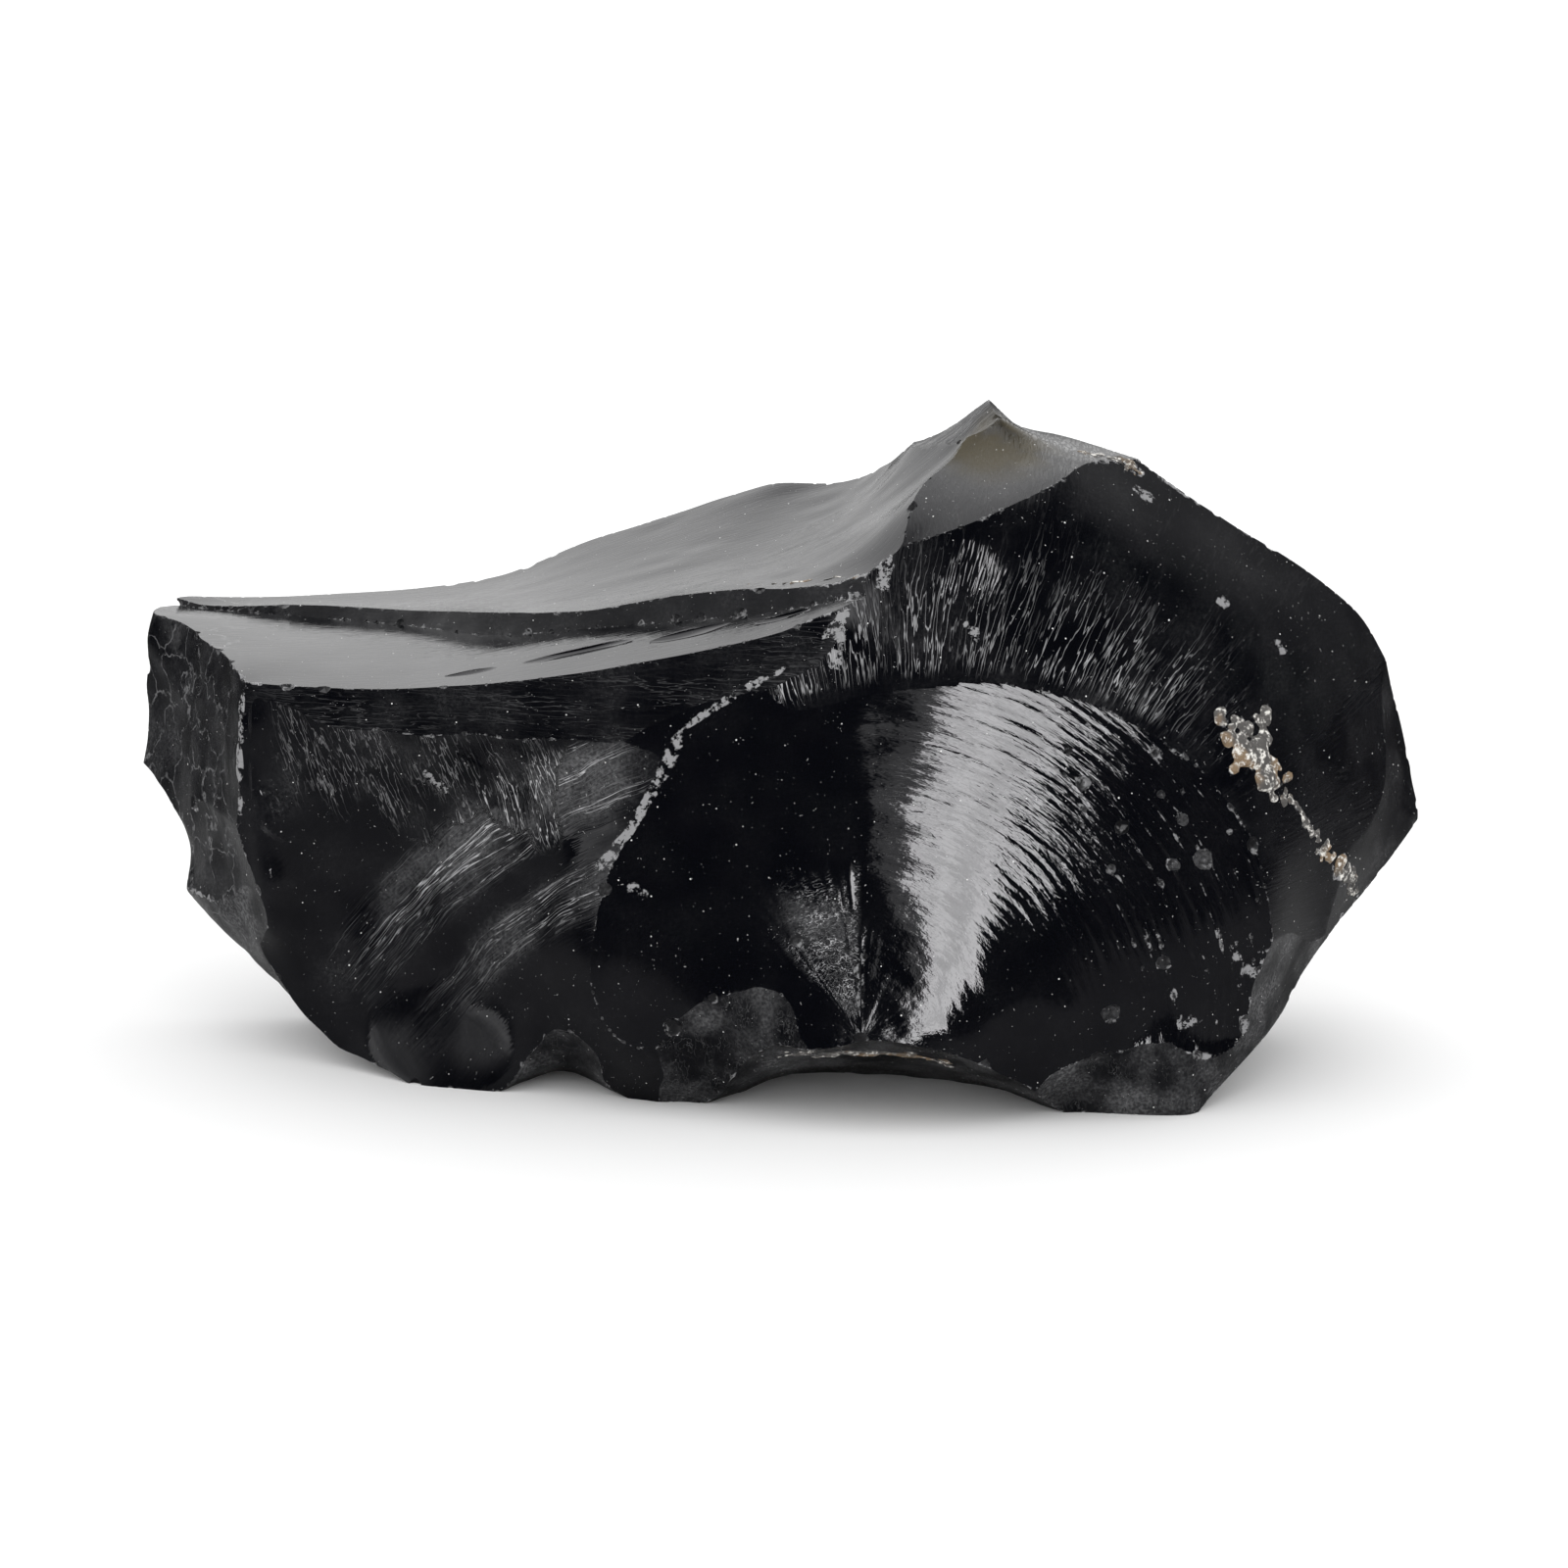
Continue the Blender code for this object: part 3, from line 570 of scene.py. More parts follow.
def hollow_ribs(across, places):
    """Ribs round a point far to the lower right, hackles, the nose and the foot."""
    reach, angle = polar(across, RIB_CENTRE)
    warp = grain(across, 6.0, 24) + 0.4 * grain(across, 2.2, 25)
    turned = np.degrees(angle)
    sweep = smooth_step(turned, -60, -50) * (1 - smooth_step(turned, -27, -20))
    round_ribs = np.column_stack([reach + 0.4 * warp, angle * 9.0])
    rib = 0.8 * grain(round_ribs, 1.0, 26) + 0.5 * grain(round_ribs * (1, 0.7), 0.55, 27)
    broad = 0.5 * smooth_step(reach, 64.5, 69) - 0.75 * smooth_step(reach, 69.5, 75.5)
    broad += 0.25 * smooth_step(reach, 75.5, 81)
    arcs = sweep * smooth_step(reach, 67, 70.5) * (1 - smooth_step(reach, 74, 77))
    arcs += 0.45 * sweep * smooth_step(reach, 59, 62) * (1 - smooth_step(reach, 64, 66))
    hang = np.column_stack([places[:, 0] + 0.3 * places[:, 2], places[:, 2] * 0.15])
    frayed = places[:, 2] + 2.5 * grain(hang, 1.6, 42)
    under_brow = smooth_step(frayed, 25, 31) * smooth_step(places[:, 0], -54, -47)
    under_brow *= 1 - smooth_step(places[:, 0], -26, -20)
    lip = np.clip(9 - places[:, 2], 0, 9)
    off_nose = places[:, 0] + NOSE_AT + 0.12 * (places[:, 2] - 24)
    nose = np.exp(-((off_nose / NOSE_WIDTH) ** 2))
    nose *= smooth_step(places[:, 2], 12, 18) * (1 - smooth_step(places[:, 2], 29, 34))
    hackle = 1 - np.abs(grain(hang + 0.3 * warp[:, None], 0.8, 28)) * 2
    under_brow *= 1 - 0.8 * arcs
    relief = broad * sweep + (0.005 + 0.022 * arcs) * rib * (1 - under_brow)
    relief += 0.05 * hackle * under_brow + swell(places, 0.06, 9, 29)
    relief += 1.0 * nose - 0.008 * lip**2
    streaks = np.where(under_brow[:, None] > 0.05, hang, round_ribs * (1.6, 0.5))
    # The ribs' pale streaks and the hackles' pale strands, through tear and haze, are painted
    # highlights that fade to the left.
    arcs *= 0.35 + 0.65 * smooth_step(turned, -54, -34)
    tear = 0.03 + 0.75 * arcs + 0.20 * under_brow
    haze_and_sheen = 0.02 + 0.07 * under_brow + 0.32 * arcs
    return Skin(relief, streaks, tear=tear, haze_and_sheen=haze_and_sheen, dull=0.10 + 0.2 * under_brow)


take_off("left_hollow", hollow, hollow.even(0.38), hollow_ribs)

# ---- Left end --------------------------------------------------------------------------
# Four small uneven facets of the same glass, one over the other, the lowest on a nub. Many
# small falls left them lumpy and cracked.
mark(
    "end_a-k",
    (-59.3, 7.6, 42.2), (-58.6, 5.6, 38.7), (-59.3, 6.6, 36.2), (-64.7, 17.6, 33.8),
    (-59.5, 5.6, 29.3), (-60.0, 5.6, 25.7), (-54.3, -6.9, 35.5), (-54.4, -6.4, 30.2),
    (-55.2, -4.6, 25.7), (-56.8, 2.6, 41.2), (-54.5, -4.9, 39.8),
)
mark(
    "out_a-i",
    (-66.1, 18.6, 39.9), (-66.3, 19.6, 34.4), (-66.7, 19.6, 29.1), (-65.2, 16.6, 24.5),
    (-62.8, 12.6, 22.6), (-60.9, 8.6, 21.3), (-60.7, 7.6, 16.8), (-61.4, 7.6, 15.7),
    (-57.8, 3.6, 13.6),
)
mark("nub_a-b", (-54.3, -5.3, 23.3), (-54.4, -3.4, 19.2))
mark("out_j", (-65.2, 23.1, 41.0))
mark("nook_a-c", (-60.2, 15.1, 19.5), (-58.2, 19.6, 18.5), (-59.7, 13.6, 15.0))
END_FACETS = {
    "end_upper": "left_a left_b end_a-d out_a out_b out_j clear_l",
    "end_middle": "end_a-c end_e-k near_left",
    "end_lower": "end_c-f out_b-e clear_k",
    "end_nub": "end_f end_i nub_a nub_b out_e-h nook_a-c clear_o clear_p",
}


def end_mottle(across, places):
    """Rounded lumps and fine tears, rougher than the big faces."""
    torn = grain(places * (1, 1, 0.45), 1.0, 31)
    relief = 0.16 * grain(places, 3.2, 30) + 0.04 * torn + 0.01 * grain(places, 0.5, 32)
    return Skin(relief, places[:, 1:] * (1, 0.3), tear=0.06, haze_and_sheen=0.14, dull=0.35)


def take_off_each(faces, spacing, skin_of):
    """Takes off a flake for every face in a table of names and corners."""
    for name, names in faces.items():
        face = Face(names)
        take_off(name, face, face.even(spacing), skin_of)


take_off_each(END_FACETS, 0.5, end_mottle)

# ---- Feet, heel and toe ----------------------------------------------------------------
# Small breaks along the bottom lift parts of the front edge off the ground: the foot of the
# left end, the heel left of the dome, an arch under the dome and one under the hollow, the
# toe at the lower right and a small facet beside it.
mark(
    "base_a-e",
    (42.8, -18.4, 0.0), (43.8, 2.6, 0.0), (37.8, 13.6, 0.0), (-39.2, -5.4, 0.0),
    (-40.2, 10.6, 0.0),
)
mark(
    "back_a-t",
    (-39.2, 21.1, 25.0), (-57.2, 20.6, 20.0), (-46.2, 14.6, 3.0), (-27.2, 18.1, 0.0),
    (-8.2, 27.1, 35.0), (-6.2, 25.1, 18.0), (-7.2, 20.1, 0.0), (9.8, 23.1, 33.0),
    (12.8, 23.1, 15.0), (21.8, 17.6, 44.0), (20.8, 19.6, 0.0), (28.8, 13.6, 52.0),
    (32.8, 19.6, 37.0), (34.8, 22.1, 22.0), (33.8, 18.1, 3.0), (45.8, 13.6, 38.0),
    (48.8, 18.6, 20.0), (60.8, 13.1, 21.0), (50.8, 9.6, 5.0), (56.8, 4.6, 12.0),
)
LOW_BREAKS = {
    "end_foot": "nub_b edge_l_d out_h out_i low_a-c base_d base_e back_c",
    "heel": "heel_a-i clear_m",
    "arch": "arch_a-h heel_g-i toe_a",
    "nick": "nick_a-g",
    "toe": "toe_a-g clear_n",
    "side": "side_a-e toe_e",
}


def low_mottle(across, places):
    """Shallow dents and a light tear."""
    torn = grain(places * (1, 1, 0.6), 1.1, 34)
    relief = 0.20 * grain(places, 3.0, 33) + 0.05 * torn
    # The pale haze of these low facets is a painted reflection of the floor.
    return Skin(relief, places[:, ::2] * (1, 0.5), tear=0.14, haze_and_sheen=0.32, dull=0.4)


take_off_each(LOW_BREAKS, 0.5, low_mottle)

# ---- Right edge and its foot -----------------------------------------------------------
# A narrow facet turns the wall round to the back, and a smooth break slants under it. Both
# are the same glass, broken with hardly a ripple.
RIGHT_BREAKS = {
    "right_edge": "edge_a-e crest_f-i",
    "right_foot": "crest_h-j side_b side_c toe_e toe_g base_a base_b back_s back_t",
}


def right_swell(across, places):
    """Hardly any relief, and a fine grain down the edge."""
    relief = swell(places, 0.09, 6, 35) + 0.006 * grain(across * (0.4, 1), 0.9, 36)
    return Skin(relief, places[:, 1:] * (1, 0.3), tear=0.03, haze_and_sheen=0.12, dull=0.3)


take_off_each(RIGHT_BREAKS, 0.6, right_swell)

# ---- Back ------------------------------------------------------------------------------
# Four broad breaks close the back. They are the same glass, with wide weak ripples that run
# round a blow below the foot of each.
BACK_BLOW = np.array((4.0, -34.0))
BACK_RIPPLE_APART = 3.4    # millimetres
BACK_BREAKS = {
    "back_left": "far_left far_a-e out_a-c back_a-g",
    "back_middle": "far_e-i back_e-o",
    "back_right": "peak cap_back_a-c crest_a-f back_l back_m back_p back_n back_q back_r",
    "back_foot": "crest_g crest_h back_n back_o back_q-t base_c",
}


def back_ripples(across, places):
    """Wide weak ripples round a blow at the foot of the break."""
    reach, _ = polar(across, BACK_BLOW)
    wave = np.sin(2 * np.pi * (reach + 1.2 * grain(across, 9, 37)) / BACK_RIPPLE_APART)
    relief = 0.05 * wave + swell(places, 0.12, 8, 38)
    return Skin(relief, places[:, ::2] * (1, 0.4), tear=0.08, haze_and_sheen=0.03, dull=0.1)


take_off_each(BACK_BREAKS, 0.85, back_ripples)

# ---- Breaking the block ----------------------------------------------------------------
# The block is the hull of every corner, a little proud of them and flat where it stands.
# The flakes come off it in order. Small chips are bitten out along its ridges, most where
# it was knocked, and four thin splinters have lifted off the lower deck.
BLOCK_ALLOWANCE = 3.0
SHARP_RIDGE = math.radians(22)
points = np.array(list(corners.values()))
outward = points - HEART
points = points + BLOCK_ALLOWANCE * outward / np.linalg.norm(outward, axis=1)[:, None]
points[:, 2] = np.maximum(points[:, 2], 0)
hull = bmesh.new()
for point in points:
    hull.verts.new(point * MM)
wrapped = bmesh.ops.convex_hull(hull, input=hull.verts)
spare = set(wrapped["geom_interior"]) | set(wrapped["geom_unused"])
bmesh.ops.delete(hull, geom=[item for item in spare if isinstance(item, bmesh.types.BMVert)])
bmesh.ops.recalc_face_normals(hull, faces=hull.faces)
stone_mesh = bpy.data.meshes.new("stone")
hull.to_mesh(stone_mesh)
hull.free()
stone = bpy.data.objects.new("stone", stone_mesh)
bpy.context.scene.collection.objects.link(stone)
for flake in flakes:
    cut(stone, flake, "DIFFERENCE")


def settle(target, tools):
    """Makes the cuts and joins of an object final, and clears their tools away."""
    bpy.context.view_layer.update()
    graph = bpy.context.evaluated_depsgraph_get()
    data = bpy.data.meshes.new_from_object(target.evaluated_get(graph))
    target.modifiers.clear()
    target.data = data
    for tool in tools:
        bpy.data.objects.remove(tool)
    return data


whole = settle(stone, list(makings.objects))
bpy.data.collections.remove(makings)


def points_of(mesh):
    """Every point of a mesh, in millimetres."""
    found = np.empty(len(mesh.vertices) * 3)
    mesh.vertices.foreach_get("co", found)
    return found.reshape(-1, 3) / MM


def ridge_ends_of(mesh):
    """The indexes of both ends of every sharp edge of a mesh."""
    mesh.set_sharp_from_angle(angle=SHARP_RIDGE)
    sharp = np.zeros(len(mesh.edges), bool)
    mesh.attributes["sharp_edge"].data.foreach_get("value", sharp)
    ends = np.empty(len(mesh.edges) * 2, int)
    mesh.edges.foreach_get("vertices", ends)
    return ends.reshape(-1, 2)[sharp]


def pebbles(name, centres, sizes, detail, uneven, wear_and_sheen, lean=0.0):
    """One object of lumpy balls, each with its own size and stretch, rising by the lean."""
    shape = bmesh.new()
    for index, (centre, size) in enumerate(zip(centres, sizes)):
        ball = bmesh.ops.create_icosphere(shape, subdivisions=detail, radius=1.0)["verts"]
        at = np.array([vertex.co for vertex in ball])
        at = at * (1 + uneven * grain(at + 5.1 * index, 0.8, 50)[:, None]) * size
        at[:, 2] += lean * at[:, 0]
        at = at + centre
        for vertex, point in zip(ball, at):
            vertex.co = point * MM
    data = bpy.data.meshes.new(name)
    shape.to_mesh(data)
    shape.free()
    for label, value in (("streaks", (0, 0, 0)), ("wear_and_sheen", wear_and_sheen)):
        layer = data.attributes.new(label, "FLOAT_VECTOR", "CORNER")
        layer.data.foreach_set("vector", np.tile(value, len(data.loops)).astype(float))
    balls = bpy.data.objects.new(name, data)
    bpy.context.scene.collection.objects.link(balls)
    return balls


def on_stone(spot):
    """The stone's nearest point to a spot in metres, and the way that it faces."""
    _, nearest, facing, _ = stone.closest_point_on_mesh(spot)
    return np.array(nearest) / MM, np.array(facing)


BRUISES = (
    ((-9, -18, 37), 7), ((-14, -19, 28), 8), ((7, -15, 50), 7), ((43, -20, 11), 9),
    ((-54, -7, 36), 9), ((-58, 2, 20), 10), ((-10, -17, 10), 6), ((58, -2, 20), 8),
    ((38, 0, 61), 9),
)                            # where the ridges took the hardest knocks, and how far each goes


def bruising(points):
    """How hard the ridges were knocked at some points."""
    return sum(
        1 - smooth_step(np.linalg.norm(points - spot, axis=1), reach / 2, reach)
        for spot, reach in BRUISES
    )


CHIP_COUNT = 480
CHIP_SIZES = (0.22, 1.25)    # millimetres
CHIP_GAP = 0.15
CHIP_RISE = (0.35, 0.75)     # how far out a chip's middle lies, in its own sizes
CHIP_STRETCH = 1.3           # a lumpy ball's reach, in its own size
CHIP_TRIES = 4 * CHIP_COUNT
BRUISE_ODDS = 5
SPLINTERS = (
    ((-19.5, -9.6, 45.2), (7.0, 1.2, 0.8)), ((-9.0, -11.4, 48.0), (4.6, 1.3, 0.8)),
    ((-0.5, -13.2, 50.0), (3.6, 0.8, 0.6)), ((-30.0, -9.5, 43.0), (3.2, 0.9, 0.6)),
)                            # the place and the half length, width and thickness of each
SPLINTER_RISE = 0.55
SPLINTER_LEAN = 0.22
dice = np.random.default_rng(11)
ridge_ends = ridge_ends_of(whole)
ridge_lines = points_of(whole)[ridge_ends]
lengths = np.linalg.norm(ridge_lines[:, 1] - ridge_lines[:, 0], axis=1)
normals = np.empty(len(whole.vertices) * 3)
whole.vertex_normals.foreach_get("vector", normals)
outward = normals.reshape(-1, 3)[ridge_ends[:, 0]]
odds = lengths * (1 + BRUISE_ODDS * bruising(ridge_lines[:, 0]))
chosen = dice.choice(len(lengths), CHIP_TRIES, p=odds / odds.sum())
chip_places, chip_sizes = [], []
for pick in chosen:
    size = CHIP_SIZES[0] + (CHIP_SIZES[1] - CHIP_SIZES[0]) * dice.random() ** 4
    spot = ridge_lines[pick, 0] + outward[pick] * size * dice.uniform(*CHIP_RISE)
    clear = [
        np.linalg.norm(spot - other) - CHIP_STRETCH * (size + taken)
        for other, taken in zip(chip_places, chip_sizes)
    ]
    if len(chip_places) < CHIP_COUNT and min(clear, default=1.0) > CHIP_GAP:
        chip_places.append(spot)
        chip_sizes.append(size)
chip_sizes = [(size,) * 3 for size in chip_sizes]
chips = pebbles("chips", chip_places, chip_sizes, 2, 0.28, (0.1, 0.25, 0.5))
cut(stone, chips, "DIFFERENCE")
whole = settle(stone, [chips])
splinter_places = []
for spot, size in SPLINTERS:
    nearest, facing = on_stone(Vector(spot) * MM)
    splinter_places.append(nearest + facing * SPLINTER_RISE * size[2])
splinter_sizes = [size for _, size in SPLINTERS]
splinters = pebbles(
    "splinters", splinter_places, splinter_sizes, 4, 0.12, (0.05, 0.0, 0.1), SPLINTER_LEAN
)
cut(stone, splinters, "DIFFERENCE")
whole = settle(stone, [splinters])

# ---- Inclusions ------------------------------------------------------------------------
# Lumps of grey, white and tan crystal are grown into the glass: a cluster right of the dome
# with a vein below it, a crust on the crest, flecks by the cap and scale under the dome.
# Crushed glass shows pale along the ridges, and a few pale slivers and flecks are crushed glass
# and painted highlight.
PALE_LINES = (
    (((-9.6, -18.5, 38.6), (-4.6, -18.2, 42.0), (0.3, -18.0, 44.6), (4.4, -17.6, 47.3)), 0.45),
    (((4.4, -17.6, 47.3), (6.8, -15.5, 49.8), (7.6, -13.5, 51.8)), 0.6),
    (((-9.8, -18.6, 37.6), (-12.0, -19.0, 33.0)), 0.8),
    (((-12.0, -19.0, 33.0), (-14.6, -19.4, 28.6), (-17.6, -18.8, 24.8)), 0.6),
    (((-54.0, -7.4, 39.5), (-54.3, -7.0, 33.0), (-54.6, -6.4, 27.0)), 0.6),
    (((40.0, -22.7, 9.7), (43.8, -20.6, 9.3), (46.4, -20.3, 13.4), (48.4, -20.2, 15.8)), 0.4),
    (((11.0, -12.8, 54.4), (10.5, -13.7, 52.3)), 0.9),
    (((6.6, -16.8, 48.8), (5.8, -18.2, 45.1)), 0.7),
    (((18.7, -17.0, 48.8), (20.1, -17.6, 48.0)), 0.5),
    (((44.3, -9.4, 50.1), (44.9, -9.4, 49.6)), 0.35),
    (((50.2, -7.4, 45.2), (51.0, -7.3, 44.2)), 0.35),
    (((37.6, -16.8, 42.8), (39.4, -16.4, 41.4)), 0.4),
    (((36.3, -3.0, 59.9), (38.2, -2.6, 59.0)), 0.6),
    (((-35.2, -9.6, 32.1), (-33.3, -8.8, 30.3)), 0.5),
    (((-14.7, -20.2, 23.7), (-12.3, -21.0, 21.4)), 0.3),
    (((45.6, -21.3, 16.4), (46.3, -21.1, 16.2)), 0.5),
)                            # slivers and flecks of crushed glass and painted highlight, with their half width
# where each growth starts and ends, its count of lumps, how far they stray sideways and
# upwards, their smallest and largest size, and their stretch
LUMPS = {
    "cluster": ((45.0, -16.0, 39.0), (50.0, -14.5, 31.6), 64, (3.0, 1.6), (0.5, 1.6), (1, 1, 1)),
    "vein": ((51.0, -13.5, 30.9), (54.9, -9.4, 24.6), 22, (0.6, 0.5), (0.4, 0.8), (1, 1, 1)),
    "lower vein": ((54.9, -9.4, 24.6), (60.0, 1.2, 16.6), 34, (1.4, 0.9), (0.5, 1.0), (1, 1, 1)),
    "scale": ((0.5, -22.5, 6.9), (17.5, -22.0, 5.9), 56, (1.6, 1.3), (0.4, 0.9), (1.9, 1, 0.7)),
    "crust": ((29.6, 0.4, 62.9), (36.4, -0.6, 61.0), 26, (1.2, 0.9), (0.3, 0.8), (1.3, 1, 0.8)),
    "flecks": (
        (-4.0, -5.3, 50.5), (10.0, -12.9, 53.2), 26, (0.4, 0.2), (0.15, 0.35), (2.5, 1, 0.7)
    ),
}
LUMP_DEPTH = 0.55            # how far a lump is sunk, in its own size
LUMP_SKIN = 0.2 * MM
LUMP_FACETS = 0.16           # the share of the skin's facets that is kept
# pale powder on the ridges, and pale slivers of crushed glass and painted highlight
RIDGE_POWDER, SLIVER_GLINT_AND_POWDER = 0.6, 2.6
lump_places, lump_sizes = [], []
for start, end, count, spread, reach, stretch in LUMPS.values():
    along = np.subtract(end, start)
    for share in (np.arange(count) + 0.5) / count:
        side = dice.normal(0, 0.5, 3) * (spread[0], spread[0], spread[1])
        size = dice.uniform(*reach) * (1 - 0.45 * abs(2 * share - 1))
        nearest, facing = on_stone(Vector((np.add(start, along * share) + side) * MM))
        lump_places.append(nearest - facing * LUMP_DEPTH * size)
        lump_sizes.append(size * np.array(stretch))
lumps = pebbles("lumps", lump_places, lump_sizes, 2, 0.5, (0.0, 0.0, 0.6))
one_skin = lumps.modifiers.new("one skin", "REMESH")
one_skin.mode = "VOXEL"
one_skin.voxel_size = LUMP_SKIN
facets = lumps.modifiers.new("facets", "DECIMATE")
facets.ratio = LUMP_FACETS
grown = settle(lumps, [])
layer = grown.attributes.new("mineral", "FLOAT", "CORNER")
layer.data.foreach_set("value", np.ones(len(grown.loops)))
cut(stone, lumps, "UNION")
whole = settle(stone, [lumps])
crystal = np.empty(len(whole.loops))
whole.attributes["mineral"].data.foreach_get("value", crystal)
for polygon in whole.polygons:
    polygon.use_smooth = bool(crystal[polygon.loop_start] < 0.5)
places = points_of(whole)
crush_and_glint = np.zeros(len(places))
crush_and_glint[ridge_ends_of(whole).ravel()] = RIDGE_POWDER
crush_and_glint *= 1 + bruising(places)
# The slivers and flecks paint pale highlights along their lines.
for path, reach in PALE_LINES:
    for start, end in zip(path, path[1:]):
        along = np.subtract(end, start)
        share = np.clip((places - start) @ along / (along @ along), 0, 1)
        away = np.linalg.norm(places - start - share[:, None] * along, axis=1)
        sliver_glint = SLIVER_GLINT_AND_POWDER * (1 - smooth_step(away, 0.5 * reach, reach))
        crush_and_glint = np.maximum(crush_and_glint, sliver_glint)
layer = whole.attributes.new("ridge", "FLOAT", "POINT")
layer.data.foreach_set("value", crush_and_glint)
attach(stone, "root")
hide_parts("obsidian_chunk")

# ---- Glass -----------------------------------------------------------------------------
# Black volcanic glass, faintly olive by the peak. Fine tears follow the break on each face,
# pale crushed glass clings to the ridges and the cracked left end, and dust has settled in
# specks on every face. Pale strands along the tears, and pale patches on the hollow's ribs,
# the dome's small fan, the low facets and a few slivers, are painted highlights and
# reflections.
GLASS_BLACK = (0.0011, 0.0013, 0.0024, 1)
# the grey of pale powder, and of the painted highlights and reflections
POWDER_AND_SHEEN_GREY = (0.42, 0.42, 0.43, 1)
OLIVE_BROWN = (0.040, 0.031, 0.011, 1)
MINERAL_TAN = (0.22, 0.15, 0.085, 1)
MINERAL_GREY = (0.085, 0.08, 0.075, 1)
MINERAL_WHITE = (0.80, 0.78, 0.73, 1)
DUST_WHITE = (0.75, 0.75, 0.74, 1)
TEAR_DEPTH = 0.10              # millimetres, where the glass is most torn
POLISH, DULLEST = 0.035, 0.42  # roughness of the cleanest and of the most torn glass
DUST_ROUGHNESS, MINERAL_ROUGHNESS = 0.9, 0.6
SHINE, SHINE_LOST = 0.53, 0.22
GLASS_IOR = 1.5
GLASS_TINT = (0.985, 0.98, 1.0, 1)
OLIVE_PLACE = (22.0, -3.0, 66.0)
OLIVE_REACH = (3.5, 9.0)       # millimetres
CRACKED_END = (-56.5, -53.5)   # where the cracks of the left end fade out
glass = bpy.data.materials.new("obsidian")
glass.use_nodes = True


class Nodes:
    """Adds nodes to a tree, with links or plain values on their inputs."""

    def __init__(self, tree):
        self.tree = tree

    def add(self, kind, settings=None, **inputs):
        node = self.tree.nodes.new(kind)
        for name, value in (settings or {}).items():
            setattr(node, name, value)
        for name, value in inputs.items():
            self.feed(node.inputs[name.replace("_", " ")], value)
        return node

    def feed(self, socket, value):
        if isinstance(value, bpy.types.NodeSocket):
            self.tree.links.new(value, socket)
        else:
            socket.default_value = value

    def math(self, operation, *values):
        node = self.add("ShaderNodeMath", {"operation": operation})
        for socket, value in zip(node.inputs, values):
            self.feed(socket, value)
        return node.outputs[0]

    def times(self, first, second):
        return self.math("MULTIPLY", first, second)

    def most(self, first, second):
        return self.math("MAXIMUM", first, second)

    def vector(self, operation, *values):
        node = self.add("ShaderNodeVectorMath", {"operation": operation})
        for socket, value in zip(node.inputs, values):
            self.feed(socket, value)
        return node.outputs["Value" if operation in ("LENGTH", "DISTANCE") else "Vector"]

    def step(self, value, low, high, bottom=0.0, top=1.0):
        """A smooth step of a value, from bottom to top."""
        node = self.add("ShaderNodeMapRange", {"interpolation_type": "SMOOTHSTEP"})
        for name, part in zip(
            ("Value", "From Min", "From Max", "To Min", "To Max"), (value, low, high, bottom, top)
        ):
            self.feed(node.inputs[name], part)
        return node.outputs[0]

    def noise(self, vector, scale, detail=2.0, rough=0.5):
        node = self.add(
            "ShaderNodeTexNoise", Vector=vector, Scale=scale, Detail=detail, Roughness=rough
        )
        return node.outputs["Fac"]

    def blend(self, share, first, second):
        node = self.add("ShaderNodeMix", {"data_type": "RGBA"})
        self.feed(node.inputs["Factor"], share)
        self.feed(node.inputs[6], first)
        self.feed(node.inputs[7], second)
        return node.outputs[2]


def dust_group():
    """Specks of dust of uneven size, about a spacing apart and no wider than the largest."""
    group = bpy.data.node_groups.new("dust", "ShaderNodeTree")
    group.interface.new_socket("Place", in_out="INPUT", socket_type="NodeSocketVector")
    group.interface.new_socket("Spacing", in_out="INPUT", socket_type="NodeSocketFloat")
    group.interface.new_socket("Largest", in_out="INPUT", socket_type="NodeSocketFloat")
    group.interface.new_socket("Specks", in_out="OUTPUT", socket_type="NodeSocketFloat")
    made = Nodes(group)
    given = made.add("NodeGroupInput").outputs
    scale = made.math("DIVIDE", 1.0, given["Spacing"])
    cells = made.add("ShaderNodeTexVoronoi", Vector=given["Place"], Scale=scale, Randomness=1.0)
    pick = made.add("ShaderNodeSeparateColor", Color=cells.outputs["Color"]).outputs[0]
    size = made.times(made.math("POWER", pick, 8.0), given["Largest"])
    size = made.times(size, scale)
    speck = made.math("LESS_THAN", cells.outputs["Distance"], size)
    made.feed(made.add("NodeGroupOutput").inputs["Specks"], speck)
    return group


finish = Nodes(glass.node_tree)
shader = glass.node_tree.nodes["Principled BSDF"]
place = finish.add("ShaderNodeTexCoord").outputs["Object"]
place = finish.vector("SCALE", place)
place.node.inputs["Scale"].default_value = 1 / MM
streaks = finish.add("ShaderNodeAttribute", {"attribute_name": "streaks"}).outputs["Vector"]
wear_and_sheen = finish.add("ShaderNodeAttribute", {"attribute_name": "wear_and_sheen"}).outputs["Vector"]
wear_and_sheen = finish.add("ShaderNodeSeparateXYZ", Vector=wear_and_sheen).outputs
ridge = finish.add("ShaderNodeAttribute", {"attribute_name": "ridge"}).outputs["Fac"]
mineral = finish.add("ShaderNodeAttribute", {"attribute_name": "mineral"}).outputs["Fac"]

patches = finish.noise(place, 0.16, detail=4.0)
wobble = finish.add("ShaderNodeTexNoise", Vector=place, Scale=0.35, Detail=3.0).outputs["Color"]
warped = finish.vector("ADD", place, finish.vector("MULTIPLY", wobble, (5.0, 5.0, 5.0)))
tearing = finish.math("MULTIPLY_ADD", finish.noise(streaks, 2.2), 6.0, -3.0)
tearing = finish.math("SUBTRACT", 1.0, finish.math("ABSOLUTE", tearing))
tearing = finish.most(tearing, 0.0)
broken = finish.noise(place, 0.8, detail=5.0, rough=0.75)
fine = finish.noise(place, 3.0, detail=3.0)
